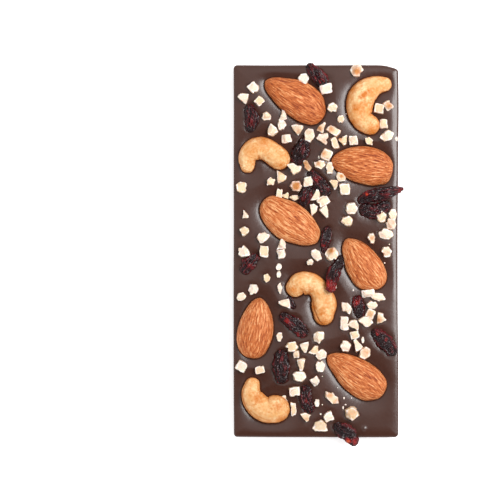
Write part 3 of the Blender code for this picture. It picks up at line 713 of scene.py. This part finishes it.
# The cranberries are dried and sweetened: soft, sticky skins that have shrunk into deep folds. They
# are almost black where they are thick. Light shining through a thin fold or end is painted on in
# clear red, and their creases are painted darker as shade.
BERRY_FLATNESS = 0.8
BERRY_RISE = 0.35  # of the berry's own radius
BERRY_SEGMENTS, BERRY_RINGS = 120, 132
BERRY_SEAT = 0.35 * MM
BERRY_DIP, BERRY_REACH = 0.24 * MM, 2.0 * MM
FOLD_DEPTH, FOLD_LEVEL = 0.288, 0.7  # as a share of the radius, and the fold at which it isn't changed
FOLDS_ROUND, FOLDS_ALONG = 1.6, 0.32 / MM  # how close together the folds lie
# Broad, small and fine folds: how much closer together they lie, the way that they bend, how high each
# may stand and how much they count
FOLD_SIZES = ((1.0, 1, 1.1, 1.0), (2.3, -1, 1.0, 0.7), (4.5, 1, 1.0, 0.48))
# Points along each, as x, y, radius and lift above the others in millimetres
CRANBERRIES = (
    ((-2.3, 74.2, 1.8, 0), (0.0, 71.6, 2.7, 0), (2.0, 68.7, 2.9, 0)),
    ((-4.8, 43.4, 2.7, 0), (-6.1, 40.2, 3.8, 0), (-7.6, 36.8, 2.4, 0)),
    ((-1.2, 30.6, 2.4, 0), (1.2, 27.7, 3.0, 0), (3.7, 24.2, 2.5, 0)),
    ((-3.6, 25.0, 2.3, 0), (-4.6, 22.0, 2.9, 0), (-5.2, 19.6, 1.9, 0)),
    (
        (18.8, 20.8, 1.9, 0.8), (22.6, 22.2, 2.7, 1.2), (27.1, 23.2, 2.9, 1.2),
        (31.3, 24.2, 2.3, 1.0), (34.4, 25.0, 1.0, 1.0),
    ),
    ((20.2, 16.6, 2.8, 0), (23.8, 16.0, 2.8, 0), (27.9, 18.2, 2.4, 0)),
    ((4.6, 8.4, 1.8, 0), (4.0, 4.9, 2.2, 0), (3.2, 1.0, 1.5, 0)),
    ((10.1, -3.6, 2.0, 0), (7.3, -8.8, 2.5, 1.2), (5.9, -14.7, 2.2, 5.2)),
    ((-10.6, -19.2, 1.2, 0), (-9.2, -22.0, 1.3, 0)),
    ((17.0, -19.9, 2.1, 0), (17.0, -22.1, 2.5, 0), (17.5, -25.0, 2.0, 0)),
    ((24.6, -33.4, 2.5, 0), (27.9, -36.7, 3.2, 0), (30.3, -39.6, 2.8, 0)),
    ((-12.5, -26.8, 2.4, 0), (-8.8, -29.4, 2.9, 0), (-5.4, -32.2, 2.6, 0)),
    ((-13.9, -42.4, 2.8, 0), (-13.9, -46.3, 3.6, 0), (-13.7, -50.6, 2.8, 0)),
    ((-4.0, -56.0, 2.3, 0), (-4.0, -60.0, 2.8, 0), (-2.8, -63.4, 2.1, 0)),
    ((9.4, -71.0, 2.5, 0.2), (12.5, -73.7, 3.4, 0.2), (14.8, -76.2, 2.6, 0)),
    ((-26.8, 56.8, 2.3, 0), (-25.6, 53.4, 3.0, 0), (-26.2, 50.2, 2.4, 0)),
    ((-25.0, -3.0, 2.2, 0), (-26.8, -5.2, 2.8, 0), (-28.4, -7.2, 2.1, 0)),
)
# Painted light shining through the skin, in red and orange: x, y and radius in millimetres, and strength
CRANBERRY_GLOW = (
    (-1.5, 73.5, 2.2, 0.4), (2.0, 70.0, 3.0, 0.4), (0.5, 28.8, 1.4, 0.5), (20.4, 22.9, 0.6, 1.7),
    (27.0, 22.0, 2.0, 0.3), (33.6, 24.8, 2.0, 0.45), (5.6, -14.0, 3.0, 0.9), (8.9, -8.0, 1.4, 0.4),
    (4.2, 3.0, 1.0, 0.4), (16.4, -20.8, 1.5, 0.8), (24.4, -33.6, 1.0, 0.6), (28.2, -35.6, 1.2, 0.8),
    (30.4, -40.0, 1.3, 0.4), (27.5, -36.5, 5.0, 0.35), (-12.0, -27.8, 1.6, 0.6),
    (-7.2, -33.2, 1.0, 0.5), (-13.5, -50.4, 1.2, 0.5),
    (-4.4, -60.4, 1.6, 0.6), (9.0, -69.8, 1.2, 0.4), (12.8, -76.6, 1.4, 1.5), (15.6, -77.0, 1.2, 1.0),
    (3.2, 2.2, 1.0, 0.7), (-26.0, 51.0, 1.6, 0.6), (-26.4, -6.0, 1.5, 0.6), (-13.0, -38.9, 1.2, 0.5),
)

BLACK_RED, DEEP_RED = colour(30, 9, 12), colour(102, 18, 24)
SHINE_THROUGH_RED, LIT_ORANGE = colour(142, 20, 16), colour(200, 78, 24)
dried = Finish("dried_cranberry", ior=1.37)
glow = dried.attribute("glow")
relief = dried.attribute("relief")
grain = dried.noise(dried.place(), 1700, 3, 0.6)
vein = dried.noise(dried.place(), 260, 3, 0.5)
# Painted light and shade: red, as of light shining through, is painted on the ridges and round the glow
# spots, and black in the creases. The veins are the skin's own tone. Glow spots above one are painted a
# lit orange.
vein_glow_and_crease_shade = dried.ramp(relief * 0.45 + vein * 0.7 + glow * 0.6, (0.42, 0), (1.28, 1))
shine_through = dried.ramp(glow + vein * 0.4 + relief * 0.2 - 0.2, (0.35, 0), (1.05, 1))
lit = dried.ramp(glow - 1, (0.05, 0), (0.45, 1))
flesh = dried.blend(shine_through, dried.blend(vein_glow_and_crease_shade, BLACK_RED, DEEP_RED), SHINE_THROUGH_RED)
dried.lead(base_color=dried.blend(lit, flesh, LIT_ORANGE), roughness=0.12 + grain * 0.12)
dried.bump(grain * 0.7 + vein * 0.3, 0.12 * MM)


def berry_folds(ball, length, seed):
    """Deep creases with round folds between them, from about -1 in a crease to 1 on a fold."""
    turn, around = ball_angles(ball)
    values = []
    for angle, along in zip(around, turn / math.pi * length):
        place = wound(angle, along * FOLDS_ALONG + seed, FOLDS_ROUND)
        bend = noise.noise_vector(place * 0.7) * 0.8
        fold = noise.noise(place * 0.5) * 0.6 - 1.0
        for closeness, way, most, weight in FOLD_SIZES:
            fold += min(abs(noise.noise(place * closeness + bend * way)) * 2.2, most) * weight
        values.append(fold)
    return np.array(values)


cranberries = []
for number, rows in enumerate(CRANBERRIES, 1):
    cranberry = add_ball(f"dried_cranberry_{number}", BERRY_SEGMENTS, BERRY_RINGS)
    ball = read_points(cranberry)
    spine = []
    for x, y, radius, lift in rows:
        height = FACE_HEIGHT - BERRY_SEAT + (BERRY_RISE * radius + lift) * MM
        spine.append(np.array((x * MM, y * MM, height, radius * MM)))
    length = np.linalg.norm(spine[-1][:3] - spine[0][:3]) + spine[0][3] + spine[-1][3]
    fold = berry_folds(ball, length, 5.7 * number)
    body = roll_body(ball, spine, BERRY_FLATNESS, 1 + FOLD_DEPTH * (fold - FOLD_LEVEL))
    write_points(cranberry, body)
    keep_value(cranberry, "relief", fold)
    keep_value(cranberry, "glow", spots_at(body, CRANBERRY_GLOW))
    bpy.ops.object.shade_smooth()
    finish_piece(cranberry, dried, "dried_cranberry", f"cranberry_{number}")
    cranberries.append(cranberry)
press_face(cranberries, BERRY_DIP, BERRY_REACH)
bed_down(cranberries)

# The chopped nuts are almonds without their skins, blanched, cut small and lightly toasted. Each is a
# broken block with flat faces, sharp corners and some toasted brown, sunk by its foot into the face.
CHIP_SINK = 1.0 * MM
CHIP_DIP, CHIP_REACH = 0.12 * MM, 1.6 * MM
CHIP_RISE, CHIP_LEAST_RISE = (0.42, 0.56), 0.5 * MM  # as a share of its narrow side, and on top of that
CHIP_LEAN = 0.35  # the steepest slope of a top
CHIP_FLARE, CHIP_TOP = 1.08, (0.76, 0.92)  # how wide a foot and a top are, as shares of the outline
CHIP_RIM = 0.16  # width of the ring of faces inside a blank's top edge, as a share of the blank
RIM_HIGHLIGHT_WIDTH = 0.30  # how far in from its outline the painted highlight along a piece's top edge reaches
CHIP_CUTS = 5
CHIP_CREASE = math.radians(28)  # edges between broken faces that are sharper than this stay sharp
# Ragged breaks run up and down the sides, so their pattern is drawn out upwards and lower on top
RAGGED, RAGGED_SCALE = 0.38 * MM, 560
RAGGED_STRETCH, RAGGED_HEIGHT = 0.35, 0.4
CRISP, CRISP_SCALE = 0.14 * MM, 1500
NOISE_SHIFT = 40  # each piece takes its noise from another place, up to this far off
# Bites out of the sides, and sloping faces on top
BITES, BITE_DEPTH, BITE_WIDTH = 2, (0.0, 0.30), (0.22, 0.45)
FACETS, FACET_FALL, FACET_REACH = 4, (0.4, 1.1), (0.05, 0.40)
LOWEST_FACET = 0.3  # of the height of the piece
# Outlines one unit wide and deep
CHIP_OUTLINES = {
    "block": ((-0.50, -0.40), (0.42, -0.50), (0.50, 0.40), (-0.40, 0.50)),
    "wedge": ((-0.50, -0.50), (0.50, -0.38), (0.22, 0.46), (-0.04, 0.50)),
    "kite": ((-0.50, 0.34), (-0.10, 0.50), (0.50, 0.30), (0.34, -0.18), (0.04, -0.50)),
    "round": ((-0.50, 0.06), (-0.24, 0.46), (0.26, 0.50), (0.50, 0.02), (0.24, -0.48), (-0.28, -0.44)),
    "sliver": ((-0.50, -0.10), (-0.22, 0.42), (0.24, 0.50), (0.50, -0.04), (0.05, -0.50)),
    "dome": ((-0.50, -0.20), (-0.30, 0.34), (0.06, 0.50), (0.38, 0.08), (0.50, -0.50), (-0.28, -0.48)),
}
# Outline, x, y, width and depth in millimetres, and turn in degrees, from the top of the bar down
CHIPS = (
    ("round", -4.9, 69.3, 4.8, 4.8, 0),
    ("block", 4.1, 65.4, 5.6, 4.2, 18),
    ("round", 16.5, 72.7, 5.6, 5.0, 0),
    ("round", 6.7, 57.7, 4.4, 4.2, 20),
    ("round", 10.0, 53.1, 3.0, 3.6, 0),
    ("wedge", -13.3, 54.8, 3.6, 4.8, 0),
    ("round", -13.8, 50.7, 3.8, 4.2, 0),
    ("block", 25.5, 57.5, 4.2, 4.4, -5),
    ("block", 29.1, 58.7, 3.4, 4.2, 35),
    ("block", 27.3, 51.3, 3.6, 4.2, 8),
    ("round", 28.6, 46.4, 6.0, 4.2, 20),
    ("wedge", 11.3, 44.6, 4.2, 3.8, 200),
    ("block", 15.1, 44.6, 3.8, 4.2, 10),
    ("sliver", 21.4, 44.3, 4.8, 3.2, -45),
    ("kite", -7.5, 48.9, 5.0, 5.0, 0),
    ("round", -2.6, 46.6, 4.6, 5.8, -15),
    ("block", -11.7, 45.3, 4.6, 3.8, 12),
    ("wedge", 2.2, 50.0, 3.6, 4.8, -30),
    ("block", 7.1, 48.6, 5.8, 3.6, -28),
    ("kite", 2.9, 45.0, 5.2, 5.2, 25),
    ("block", 7.5, 43.7, 3.0, 5.6, 25),
    ("block", 4.2, 38.9, 4.4, 5.0, -20),
    ("round", 1.5, 35.0, 4.8, 3.6, -15),
    ("round", 5.6, 33.5, 3.4, 5.6, 0),
    ("kite", -9.0, 33.0, 6.8, 5.0, -10),
    ("sliver", -3.7, 34.6, 6.0, 2.6, -62),
    ("wedge", -13.8, 30.0, 5.6, 4.2, -90),
    ("block", -3.2, 28.0, 4.2, 4.4, 15),
    ("round", -8.0, 26.2, 5.2, 4.4, 0),
    ("round", 10.2, 30.0, 4.8, 4.2, 10),
    ("wedge", 7.1, 27.3, 4.2, 4.2, 60),
    ("block", 11.7, 24.9, 4.4, 5.2, 12),
    ("block", -14.7, 23.1, 2.8, 4.8, 0),
    ("kite", -12.3, 22.2, 3.6, 2.8, 30),
    ("sliver", -8.7, 21.5, 4.6, 2.4, -5),
    ("wedge", 0.0, 22.6, 3.8, 5.2, -10),
    ("block", 2.9, 20.2, 5.4, 4.4, 35),
    ("kite", -1.2, 16.8, 3.8, 5.8, -12),
    ("wedge", 3.8, 15.9, 3.8, 5.2, 210),
    ("round", 14.2, 17.2, 5.6, 4.8, 0),
    ("round", 12.4, 12.0, 5.2, 4.2, 10),
    ("round", 26.2, 13.9, 4.8, 5.0, 20),
    ("round", 30.9, 14.8, 3.8, 4.6, 0),
    ("round", 30.3, 11.0, 4.6, 4.8, 0),
    ("round", 28.2, 6.9, 6.6, 4.6, -12),
    ("round", 22.5, 5.1, 3.4, 4.4, 0),
    ("round", 28.4, -0.2, 4.4, 4.6, 10),
    ("wedge", -13.8, 2.9, 4.2, 4.8, 0),
    ("block", -14.0, -1.1, 3.6, 4.0, 20),
    ("round", 0.2, -1.6, 4.0, 5.2, 35),
    ("round", -2.3, -4.3, 2.8, 2.8, 0),
    ("round", 6.4, -1.3, 5.8, 5.6, 10),
    ("sliver", -14.5, -15.1, 5.0, 2.4, 90),
    ("wedge", -12.7, -21.1, 4.4, 5.2, 90),
    ("block", 21.0, -17.0, 5.6, 3.4, 12),
    ("sliver", 25.0, -18.6, 6.6, 3.8, -14),
    ("sliver", 12.2, -22.9, 6.0, 4.0, -58),
    ("block", 11.5, -29.0, 3.8, 6.2, 5),
    ("round", 22.6, -21.7, 4.8, 3.4, -10),
    ("block", 21.8, -25.3, 3.8, 4.6, -18),
    ("kite", 25.8, -27.1, 5.0, 4.6, -40),
    ("sliver", 20.0, -28.3, 6.4, 4.6, -10),
    ("kite", 15.4, -30.1, 4.4, 5.0, 30),
    ("block", 15.6, -33.7, 4.0, 3.4, 20),
    ("round", 12.0, -38.2, 4.4, 4.8, 0),
    ("wedge", 16.5, -37.9, 3.8, 5.2, 30),
    ("round", 19.8, -40.9, 4.8, 6.0, -25),
    ("round", -14.6, -34.6, 2.6, 3.8, 0),
    ("round", 1.2, -34.6, 4.6, 5.2, -20),
    ("round", -9.8, -38.6, 5.4, 4.2, 0),
    ("block", -7.9, -41.6, 2.8, 3.4, 10),
    ("wedge", -4.4, -38.9, 3.8, 4.4, 190),
    ("wedge", -0.6, -39.7, 4.4, 4.2, -15),
    ("round", 2.1, -41.8, 5.4, 4.0, 25),
    ("wedge", -5.7, -45.7, 4.2, 5.2, 180),
    ("round", 1.7, -46.4, 4.4, 4.8, 10),
    ("round", -6.7, -50.4, 5.8, 4.4, -10),
    ("block", -0.2, -52.5, 3.6, 3.8, 40),
    ("block", -8.6, -56.6, 4.6, 4.2, 12),
    ("wedge", -13.2, -59.4, 4.0, 3.0, 0),
    ("block", -9.0, -64.0, 2.4, 6.4, 5),
    ("round", 6.4, -59.0, 7.2, 3.8, -42),
    ("kite", -4.2, -67.1, 4.6, 3.8, 0),
    ("block", 4.9, -66.7, 4.2, 4.2, 28),
    ("dome", 1.9, -70.4, 6.9, 4.8, 0),
    ("round", 14.4, -65.4, 6.0, 5.6, -20),
)
# More of them along the left of the bar, spread by a rule
STRIP_CHIPS = 17
STRIP_X = (-30.6 * MM, -17.6 * MM)
STRIP_Y = (-64.0 * MM, 71.0 * MM)
STRIP_SPACING = 5.6 * MM
STRIP_CLEAR = 2.6 * MM
ALMOND_FOOT_TURNS = (0.9, 1.35, 1.8, 2.25)  # where the circles sit that cover an almond's footprint
STRIP_SIZES, STRIP_SLIMNESS = (3.4, 5.2), (0.7, 1.0)  # width in millimetres, and depth as a share of it
# Toasted places on them: x, y and radius in millimetres, and strength
CHIP_TOAST = (
    (16.4, 72.6, 2.2, 0.9), (29.4, 58.8, 1.6, 0.8), (1.6, 49.4, 1.8, 0.7), (6.2, 49.2, 1.8, 0.7),
    (9.6, 45.6, 1.3, 0.8), (-7.3, 48.6, 1.8, 0.5), (3.2, 44.4, 2.0, 0.5), (2.8, 39.4, 1.6, 0.7),
    (-3.7, 34.6, 2.4, 0.7), (-8.0, 26.2, 2.0, 1.1), (10.2, 30.2, 0.8, 1.1), (1.0, 35.4, 1.2, 0.7),
    (30.2, 11.0, 2.6, 0.5), (22.5, 5.3, 1.2, 0.7), (28.4, -0.4, 2.0, 0.4), (6.0, 0.2, 1.5, 1.0),
    (21.8, -25.3, 1.8, 0.6), (25.4, -27.6, 1.8, 0.7), (19.9, -40.8, 2.4, 0.6), (5.6, -58.0, 1.8, 0.6),
    (8.2, -60.6, 1.4, 0.6), (14.4, -65.6, 2.6, 0.5), (-3.6, -67.4, 1.2, 0.5), (-8.6, 44.6, 1.4, 0.4),
)

ROSY_CREAM, YELLOW_CREAM, SHADED_SIDE_CREAM = colour(230, 211, 194), colour(222, 194, 156), colour(218, 184, 144)
HIGHLIGHT_WHITE, WARM_HIGHLIGHT_WHITE, NUT_BROWN = colour(252, 248, 246), colour(234, 218, 204), colour(190, 122, 62)
blanched = Finish("chopped_nut", ior=1.45, subsurface_weight=0.10, subsurface_scale=0.001)
tint = blanched.attribute("tint")
crumb = blanched.noise(blanched.place(), 1300, 3, 0.65)
stain = blanched.noise(blanched.place(), 520, 3, 0.6)
# Painted highlight: the top edge and the ring inside it are painted near white, as if catching the light.
rim = blanched.ramp(blanched.attribute("rim") + stain * 0.8 - 0.4, (0.25, 0), (0.75, 1))
# Painted shade: the steep sides are painted a darker cream, as if in shade.
shaded_side = blanched.ramp(stain * 0.8 - blanched.upright() * 0.6 + tint * 0.3, (0.10, 0), (0.70, 1))
browned = blanched.ramp(blanched.attribute("toast") + stain * 0.8 - 0.4, (0.15, 0), (0.85, 1))
highlight_white = blanched.blend(blanched.ramp(crumb, (0.35, 0), (0.65, 1)), HIGHLIGHT_WHITE, WARM_HIGHLIGHT_WHITE)
flesh = blanched.blend(rim, blanched.blend(tint, ROSY_CREAM, YELLOW_CREAM), highlight_white)
flesh = blanched.blend(shaded_side * 0.8, flesh, SHADED_SIDE_CREAM)
blanched.lead(base_color=blanched.blend(browned, flesh, NUT_BROWN), roughness=0.5 + crumb * 0.15)
blanched.bump(crumb, 0.09 * MM)


def chip_blank(kind):
    """One kind of chopped piece, a unit wide, deep and high, with a ring of faces inside its top edge."""
    outline = CHIP_OUTLINES[kind]
    sizes = {"vertices": len(outline), "radius": 1, "fill_type": "NGON"}
    blank = add_primitive(f"{kind}_chip", bpy.ops.mesh.primitive_circle_add, **sizes)
    points = read_points(blank)
    order = np.argsort(np.arctan2(points[:, 1], points[:, 0]))
    points[order, :2] = sorted(outline, key=lambda corner: math.atan2(corner[1], corner[0]))
    place_points(blank, points)
    bpy.ops.object.mode_set(mode="EDIT")
    bpy.ops.mesh.extrude_region_move(TRANSFORM_OT_translate={"value": (0, 0, 1)})
    bpy.ops.mesh.inset(thickness=CHIP_RIM)
    bpy.ops.mesh.select_all(action="SELECT")
    bpy.ops.mesh.normals_make_consistent(inside=False)
    bpy.ops.mesh.quads_convert_to_tris()
    bpy.ops.mesh.subdivide(number_cuts=CHIP_CUTS)
    bpy.ops.mesh.vertices_smooth(factor=0.5, repeat=1)
    bpy.ops.object.mode_set(mode="OBJECT")
    return blank


def footprints():
    """Circles that cover each whole topping as seen from above: x, y and radius of each, in metres."""
    for x, y, length, width, tip, taper, _, _ in ALMONDS:
        turns = np.array(ALMOND_FOOT_TURNS)
        along, heading = np.cos(turns) * length / 2, math.radians(tip)
        middle_x, middle_y = x + along * math.cos(heading), y + along * math.sin(heading)
        yield np.column_stack([middle_x, middle_y, almond_profile(turns, taper) * width / 2]) * MM
    for rows in (*CASHEWS, *CRANBERRIES):
        yield np.array([row[:3] for row in rows]) * MM


def clearance(x, y, feet):
    """Distance from a place to the nearest of these toppings' outlines, negative inside one."""
    nearest = SLAB_WIDTH
    for circles in feet:
        for first, second in zip(circles, circles[1:]):
            run = (second - first)[:2]
            share = np.clip(((x, y) - first[:2]) @ run / (run @ run), 0, 1)
            near = first + share * (second - first)
            nearest = min(nearest, math.hypot(x - near[0], y - near[1]) - near[2])
    return nearest


def strip_rows(chance, feet):
    """Places for the chopped nuts of the left strip, apart from each other and clear of the toppings."""
    rows = []
    while len(rows) < STRIP_CHIPS:
        x, y = chance.uniform(*STRIP_X), chance.uniform(*STRIP_Y)
        kind = chance.choice(sorted(CHIP_OUTLINES))
        size, slim = chance.uniform(*STRIP_SIZES), chance.uniform(*STRIP_SLIMNESS)
        turn = chance.uniform(0, 360)
        crowded = any(math.hypot(x - row[1] * MM, y - row[2] * MM) < STRIP_SPACING for row in rows)
        if not crowded and clearance(x, y, feet) > STRIP_CLEAR:
            rows.append((kind, x / MM, y / MM, size, size * slim, turn))
    return rows


def face_under(x, y, points):
    """Height of the chocolate's face at a place."""
    nearest = np.argmin(np.hypot(points[:, 0] - x, points[:, 1] - y) + (ring >= LIP_STEPS))
    return points[nearest, 2]


def noise_at(points, scale, shift):
    return np.array([noise.noise_vector(Vector(point) * scale + Vector(shift)) for point in points])


def break_up(points, size, rise, detail):
    """Turns a blank's points into a broken piece: bitten sides, sloping faces on top, ragged edges."""
    shift = [detail.uniform(-NOISE_SHIFT, NOISE_SHIFT) for _ in range(3)]
    bearing = np.arctan2(points[:, 1], points[:, 0])
    for _ in range(BITES):
        middle = detail.uniform(-math.pi, math.pi)
        deep, wide = detail.uniform(*BITE_DEPTH), detail.uniform(*BITE_WIDTH)
        away = (bearing - middle + math.pi) % (2 * math.pi) - math.pi
        points[:, :2] *= (1 - deep * np.exp(-((away / wide) ** 2)))[:, None]
    for _ in range(FACETS):
        heading = detail.uniform(-math.pi, math.pi)
        fall, reach = detail.uniform(*FACET_FALL), detail.uniform(*FACET_REACH)
        along = points[:, 0] * math.cos(heading) + points[:, 1] * math.sin(heading)
        cut = np.maximum(rise - fall * (along - reach * size), LOWEST_FACET * rise)
        height = points[:, 2]
        points[:, 2] = np.where(height > 0, np.minimum(height, cut), height)
    level = points * (1, 1, RAGGED_STRETCH)
    points += noise_at(level, RAGGED_SCALE, shift) * RAGGED * (1, 1, RAGGED_HEIGHT)
    points += noise_at(points, CRISP_SCALE, shift) * CRISP
    return points


def copy_blank(kind):
    copy = blanks[kind].copy()
    copy.data = copy.data.copy()
    bpy.context.scene.collection.objects.link(copy)
    return copy


blanks = {kind: chip_blank(kind) for kind in CHIP_OUTLINES}
chance = random.Random(7)
detail = random.Random(11)
chip_rows = [*CHIPS, *strip_rows(chance, list(footprints()))]
face_points = read_points(slab)
chips = []
for kind, x, y, width, depth, turn in chip_rows:
    chip = copy_blank(kind)
    rise = chance.uniform(*CHIP_RISE) * min(width, depth) * MM + CHIP_LEAST_RISE
    lean = np.array((chance.uniform(-CHIP_LEAN, CHIP_LEAN), chance.uniform(-CHIP_LEAN, CHIP_LEAN)))
    shrink = np.mean([chance.uniform(*CHIP_TOP) for _ in CHIP_OUTLINES[kind]])
    blank = read_points(chip)
    # How near each top point lies to the edge, for the painted highlight there.
    inward = np.maximum(1 - np.max(abs(blank[:, :2]), axis=1) * 2, 0)
    keep_value(chip, "rim", np.exp(-((inward / RIM_HIGHLIGHT_WIDTH) ** 2)) * (blank[:, 2] > 0.5))
    points = blank * (width * MM * CHIP_FLARE, depth * MM * CHIP_FLARE, 1)
    points[:, :2] *= 1 - (1 - shrink) * blank[:, 2:]
    points[:, 2] = blank[:, 2] * (rise + CHIP_SINK + points[:, :2] @ lean) - CHIP_SINK
    points = turn_flat(break_up(points, max(width, depth) * MM, rise, detail), turn)
    write_points(chip, points + (x * MM, y * MM, face_under(x * MM, y * MM, face_points)))
    placed = read_points(chip)
    keep_value(chip, "toast", spots_at(placed, CHIP_TOAST))
    keep_value(chip, "tint", np.full(len(placed), detail.random()))
    chips.append(chip)
press_face(chips, CHIP_DIP, CHIP_REACH)


def join_chips(name, pieces):
    """Makes one piece of these, on which only the edges between broken faces stay sharp."""
    bpy.ops.object.select_all(action="DESELECT")
    for piece in pieces:
        piece.select_set(True)
    bpy.context.view_layer.objects.active = pieces[0]
    bpy.ops.object.join()
    joined = bpy.context.object
    joined.name = joined.data.name = name
    bpy.ops.object.shade_smooth_by_angle(angle=CHIP_CREASE)
    return joined


chopped_nuts = join_chips("chopped_nuts", chips)
finish_piece(chopped_nuts, blanched, "chopped_nuts", "chocolate_slab")

# Crumbs broke off the same nuts as they were chopped. They are too small to be chips, fell on the soft
# face with them, and stuck to it.
CRUMB_HEIGHT = 0.6  # of its narrow side
CRUMB_SEAT, CRUMB_ROUGHNESS = 0.25, 0.3  # of its height
CRUMB_SCALE = 900
# Crumbs take half of the painted highlight of a chip's top edge.
CRUMB_LOOKS = {"rim": 0.5, "toast": 0.0, "tint": 0.2}
# x, y, width and depth in millimetres
CRUMBS = (
    (-15.0, -6.4, 2.2, 2.6), (-15.0, -9.4, 1.8, 2.6), (0.4, -61.2, 2.4, 3.0), (32.5, 45.2, 1.2, 1.8),
    (7.8, -14.4, 1.2, 1.6), (18.9, -35.8, 1.2, 2.6), (1.2, 37.9, 0.7, 1.2), (27.7, -4.8, 0.6, 0.6),
    (29.6, 2.7, 0.5, 0.5), (15.1, -15.7, 0.6, 0.9), (11.3, -59.2, 0.7, 0.9), (14.4, -59.2, 0.5, 0.5),
    (12.0, -61.9, 0.9, 0.5), (11.0, -63.1, 0.6, 1.4), (2.6, -50.5, 0.4, 0.4), (2.6, -61.9, 0.5, 0.5),
    (1.9, -65.7, 0.8, 0.7), (12.2, 55.4, 0.5, 0.5), (-10.1, 44.9, 0.5, 0.8), (8.8, -55.0, 0.4, 0.4),
)
crumbs = []
for number, (x, y, width, depth) in enumerate(CRUMBS):
    crumb = copy_blank("round")
    height = CRUMB_HEIGHT * min(width, depth) * MM
    points = (read_points(crumb) - (0, 0, CRUMB_SEAT)) * (width * MM, depth * MM, height)
    points += noise_at(points, CRUMB_SCALE, (number, 0, 0)) * height * CRUMB_ROUGHNESS
    write_points(crumb, points + (x * MM, y * MM, face_under(x * MM, y * MM, face_points)))
    for name, value in CRUMB_LOOKS.items():
        keep_value(crumb, name, np.full(len(points), value))
    crumbs.append(crumb)
finish_piece(join_chips("nut_crumbs", crumbs), blanched, "chopped_nuts")
for blank in blanks.values():
    bpy.data.objects.remove(blank)

# A white table under soft studio light: a large window of light on the right, and a white ceiling and
# walls all round. The ceiling ends overhead, so that the near end of the bar mirrors less of it.
FLOOR_SIZE = 6.0
WHITE = (1, 1, 1, 1)
floor = add_primitive("floor", bpy.ops.mesh.primitive_plane_add, size=FLOOR_SIZE)
table_top = Finish("white_table", base_color=(0.97, 0.97, 0.97, 1), roughness=0.7)
table_top.lead(emission_color=WHITE, emission_strength=0.5)
floor.data.materials.append(table_top.material)

WALL_LIGHT = 0.85
OVERHEAD = ((0.86, 0), (0.95, 1))  # where the walls go over into the ceiling, by height
CEILING = ((0.01, 0.0), (0.29, 0.05), (0.50, 0.90), (0.70, 1.0))  # its light from the near side on
CEILING_SPREAD = 4  # how quickly that light comes up
world = bpy.data.worlds.new("white_walls")
world.use_nodes = True
tree = world.node_tree
way = add_node(tree, "ShaderNodeTexCoord", {}, {}, output="Generated")
along = add_node(tree, "ShaderNodeSeparateXYZ", {}, {"Vector": way}, output="Y")
height = add_node(tree, "ShaderNodeSeparateXYZ", {}, {"Vector": way}, output="Z")
overhead = add_node(tree, "ShaderNodeValToRGB", {"stops": grey_stops(*OVERHEAD)}, {"Fac": height})
spread = {"Fac": along * CEILING_SPREAD + 0.5}
ceiling = add_node(tree, "ShaderNodeValToRGB", {"stops": grey_stops(*CEILING)}, spread)
backdrop = tree.nodes["Background"].inputs
fill(tree, backdrop["Color"], WHITE)
fill(tree, backdrop["Strength"], (1 - overhead) * WALL_LIGHT + overhead * ceiling)
bpy.context.scene.world = world

WINDOW_WIDTH, WINDOW_HEIGHT = 0.36, 0.27
WINDOW_PLACE, WINDOW_AIM = Vector((0.27, 0.13, 0.52)), Vector((0, 0.13, 0))
WINDOW_LIGHT = 11.0  # its brightness, in watts for each square metre and steradian
lamp = bpy.data.lights.new("window_right", "AREA")
lamp.shape = "RECTANGLE"
lamp.size, lamp.size_y = WINDOW_WIDTH, WINDOW_HEIGHT
lamp.energy = WINDOW_LIGHT * math.pi * WINDOW_WIDTH * WINDOW_HEIGHT
window = bpy.data.objects.new("window_right", lamp)
bpy.context.scene.collection.objects.link(window)
window.location = WINDOW_PLACE
window.rotation_euler = (WINDOW_AIM - WINDOW_PLACE).to_track_quat("-Z", "Y").to_euler()

# The camera looks straight down through a long lens, from over the place that is the middle of the
# photograph.
CAMERA_LENS, SENSOR = 300, 36  # in millimetres
NEAREST_SEEN = 0.01
VIEW_MIDDLE = (-30.6 * MM, 4.5 * MM)
VIEW_WIDTH = 193.5 * MM
camera = bpy.data.cameras.new("camera")
camera.lens, camera.sensor_width = CAMERA_LENS, SENSOR
camera.clip_start = NEAREST_SEEN
viewer = bpy.data.objects.new("camera", camera)
bpy.context.scene.collection.objects.link(viewer)
viewer.location = (*VIEW_MIDDLE, FACE_HEIGHT + VIEW_WIDTH * CAMERA_LENS / SENSOR)
bpy.context.scene.camera = viewer
bpy.context.scene.view_settings.view_transform = "Standard"
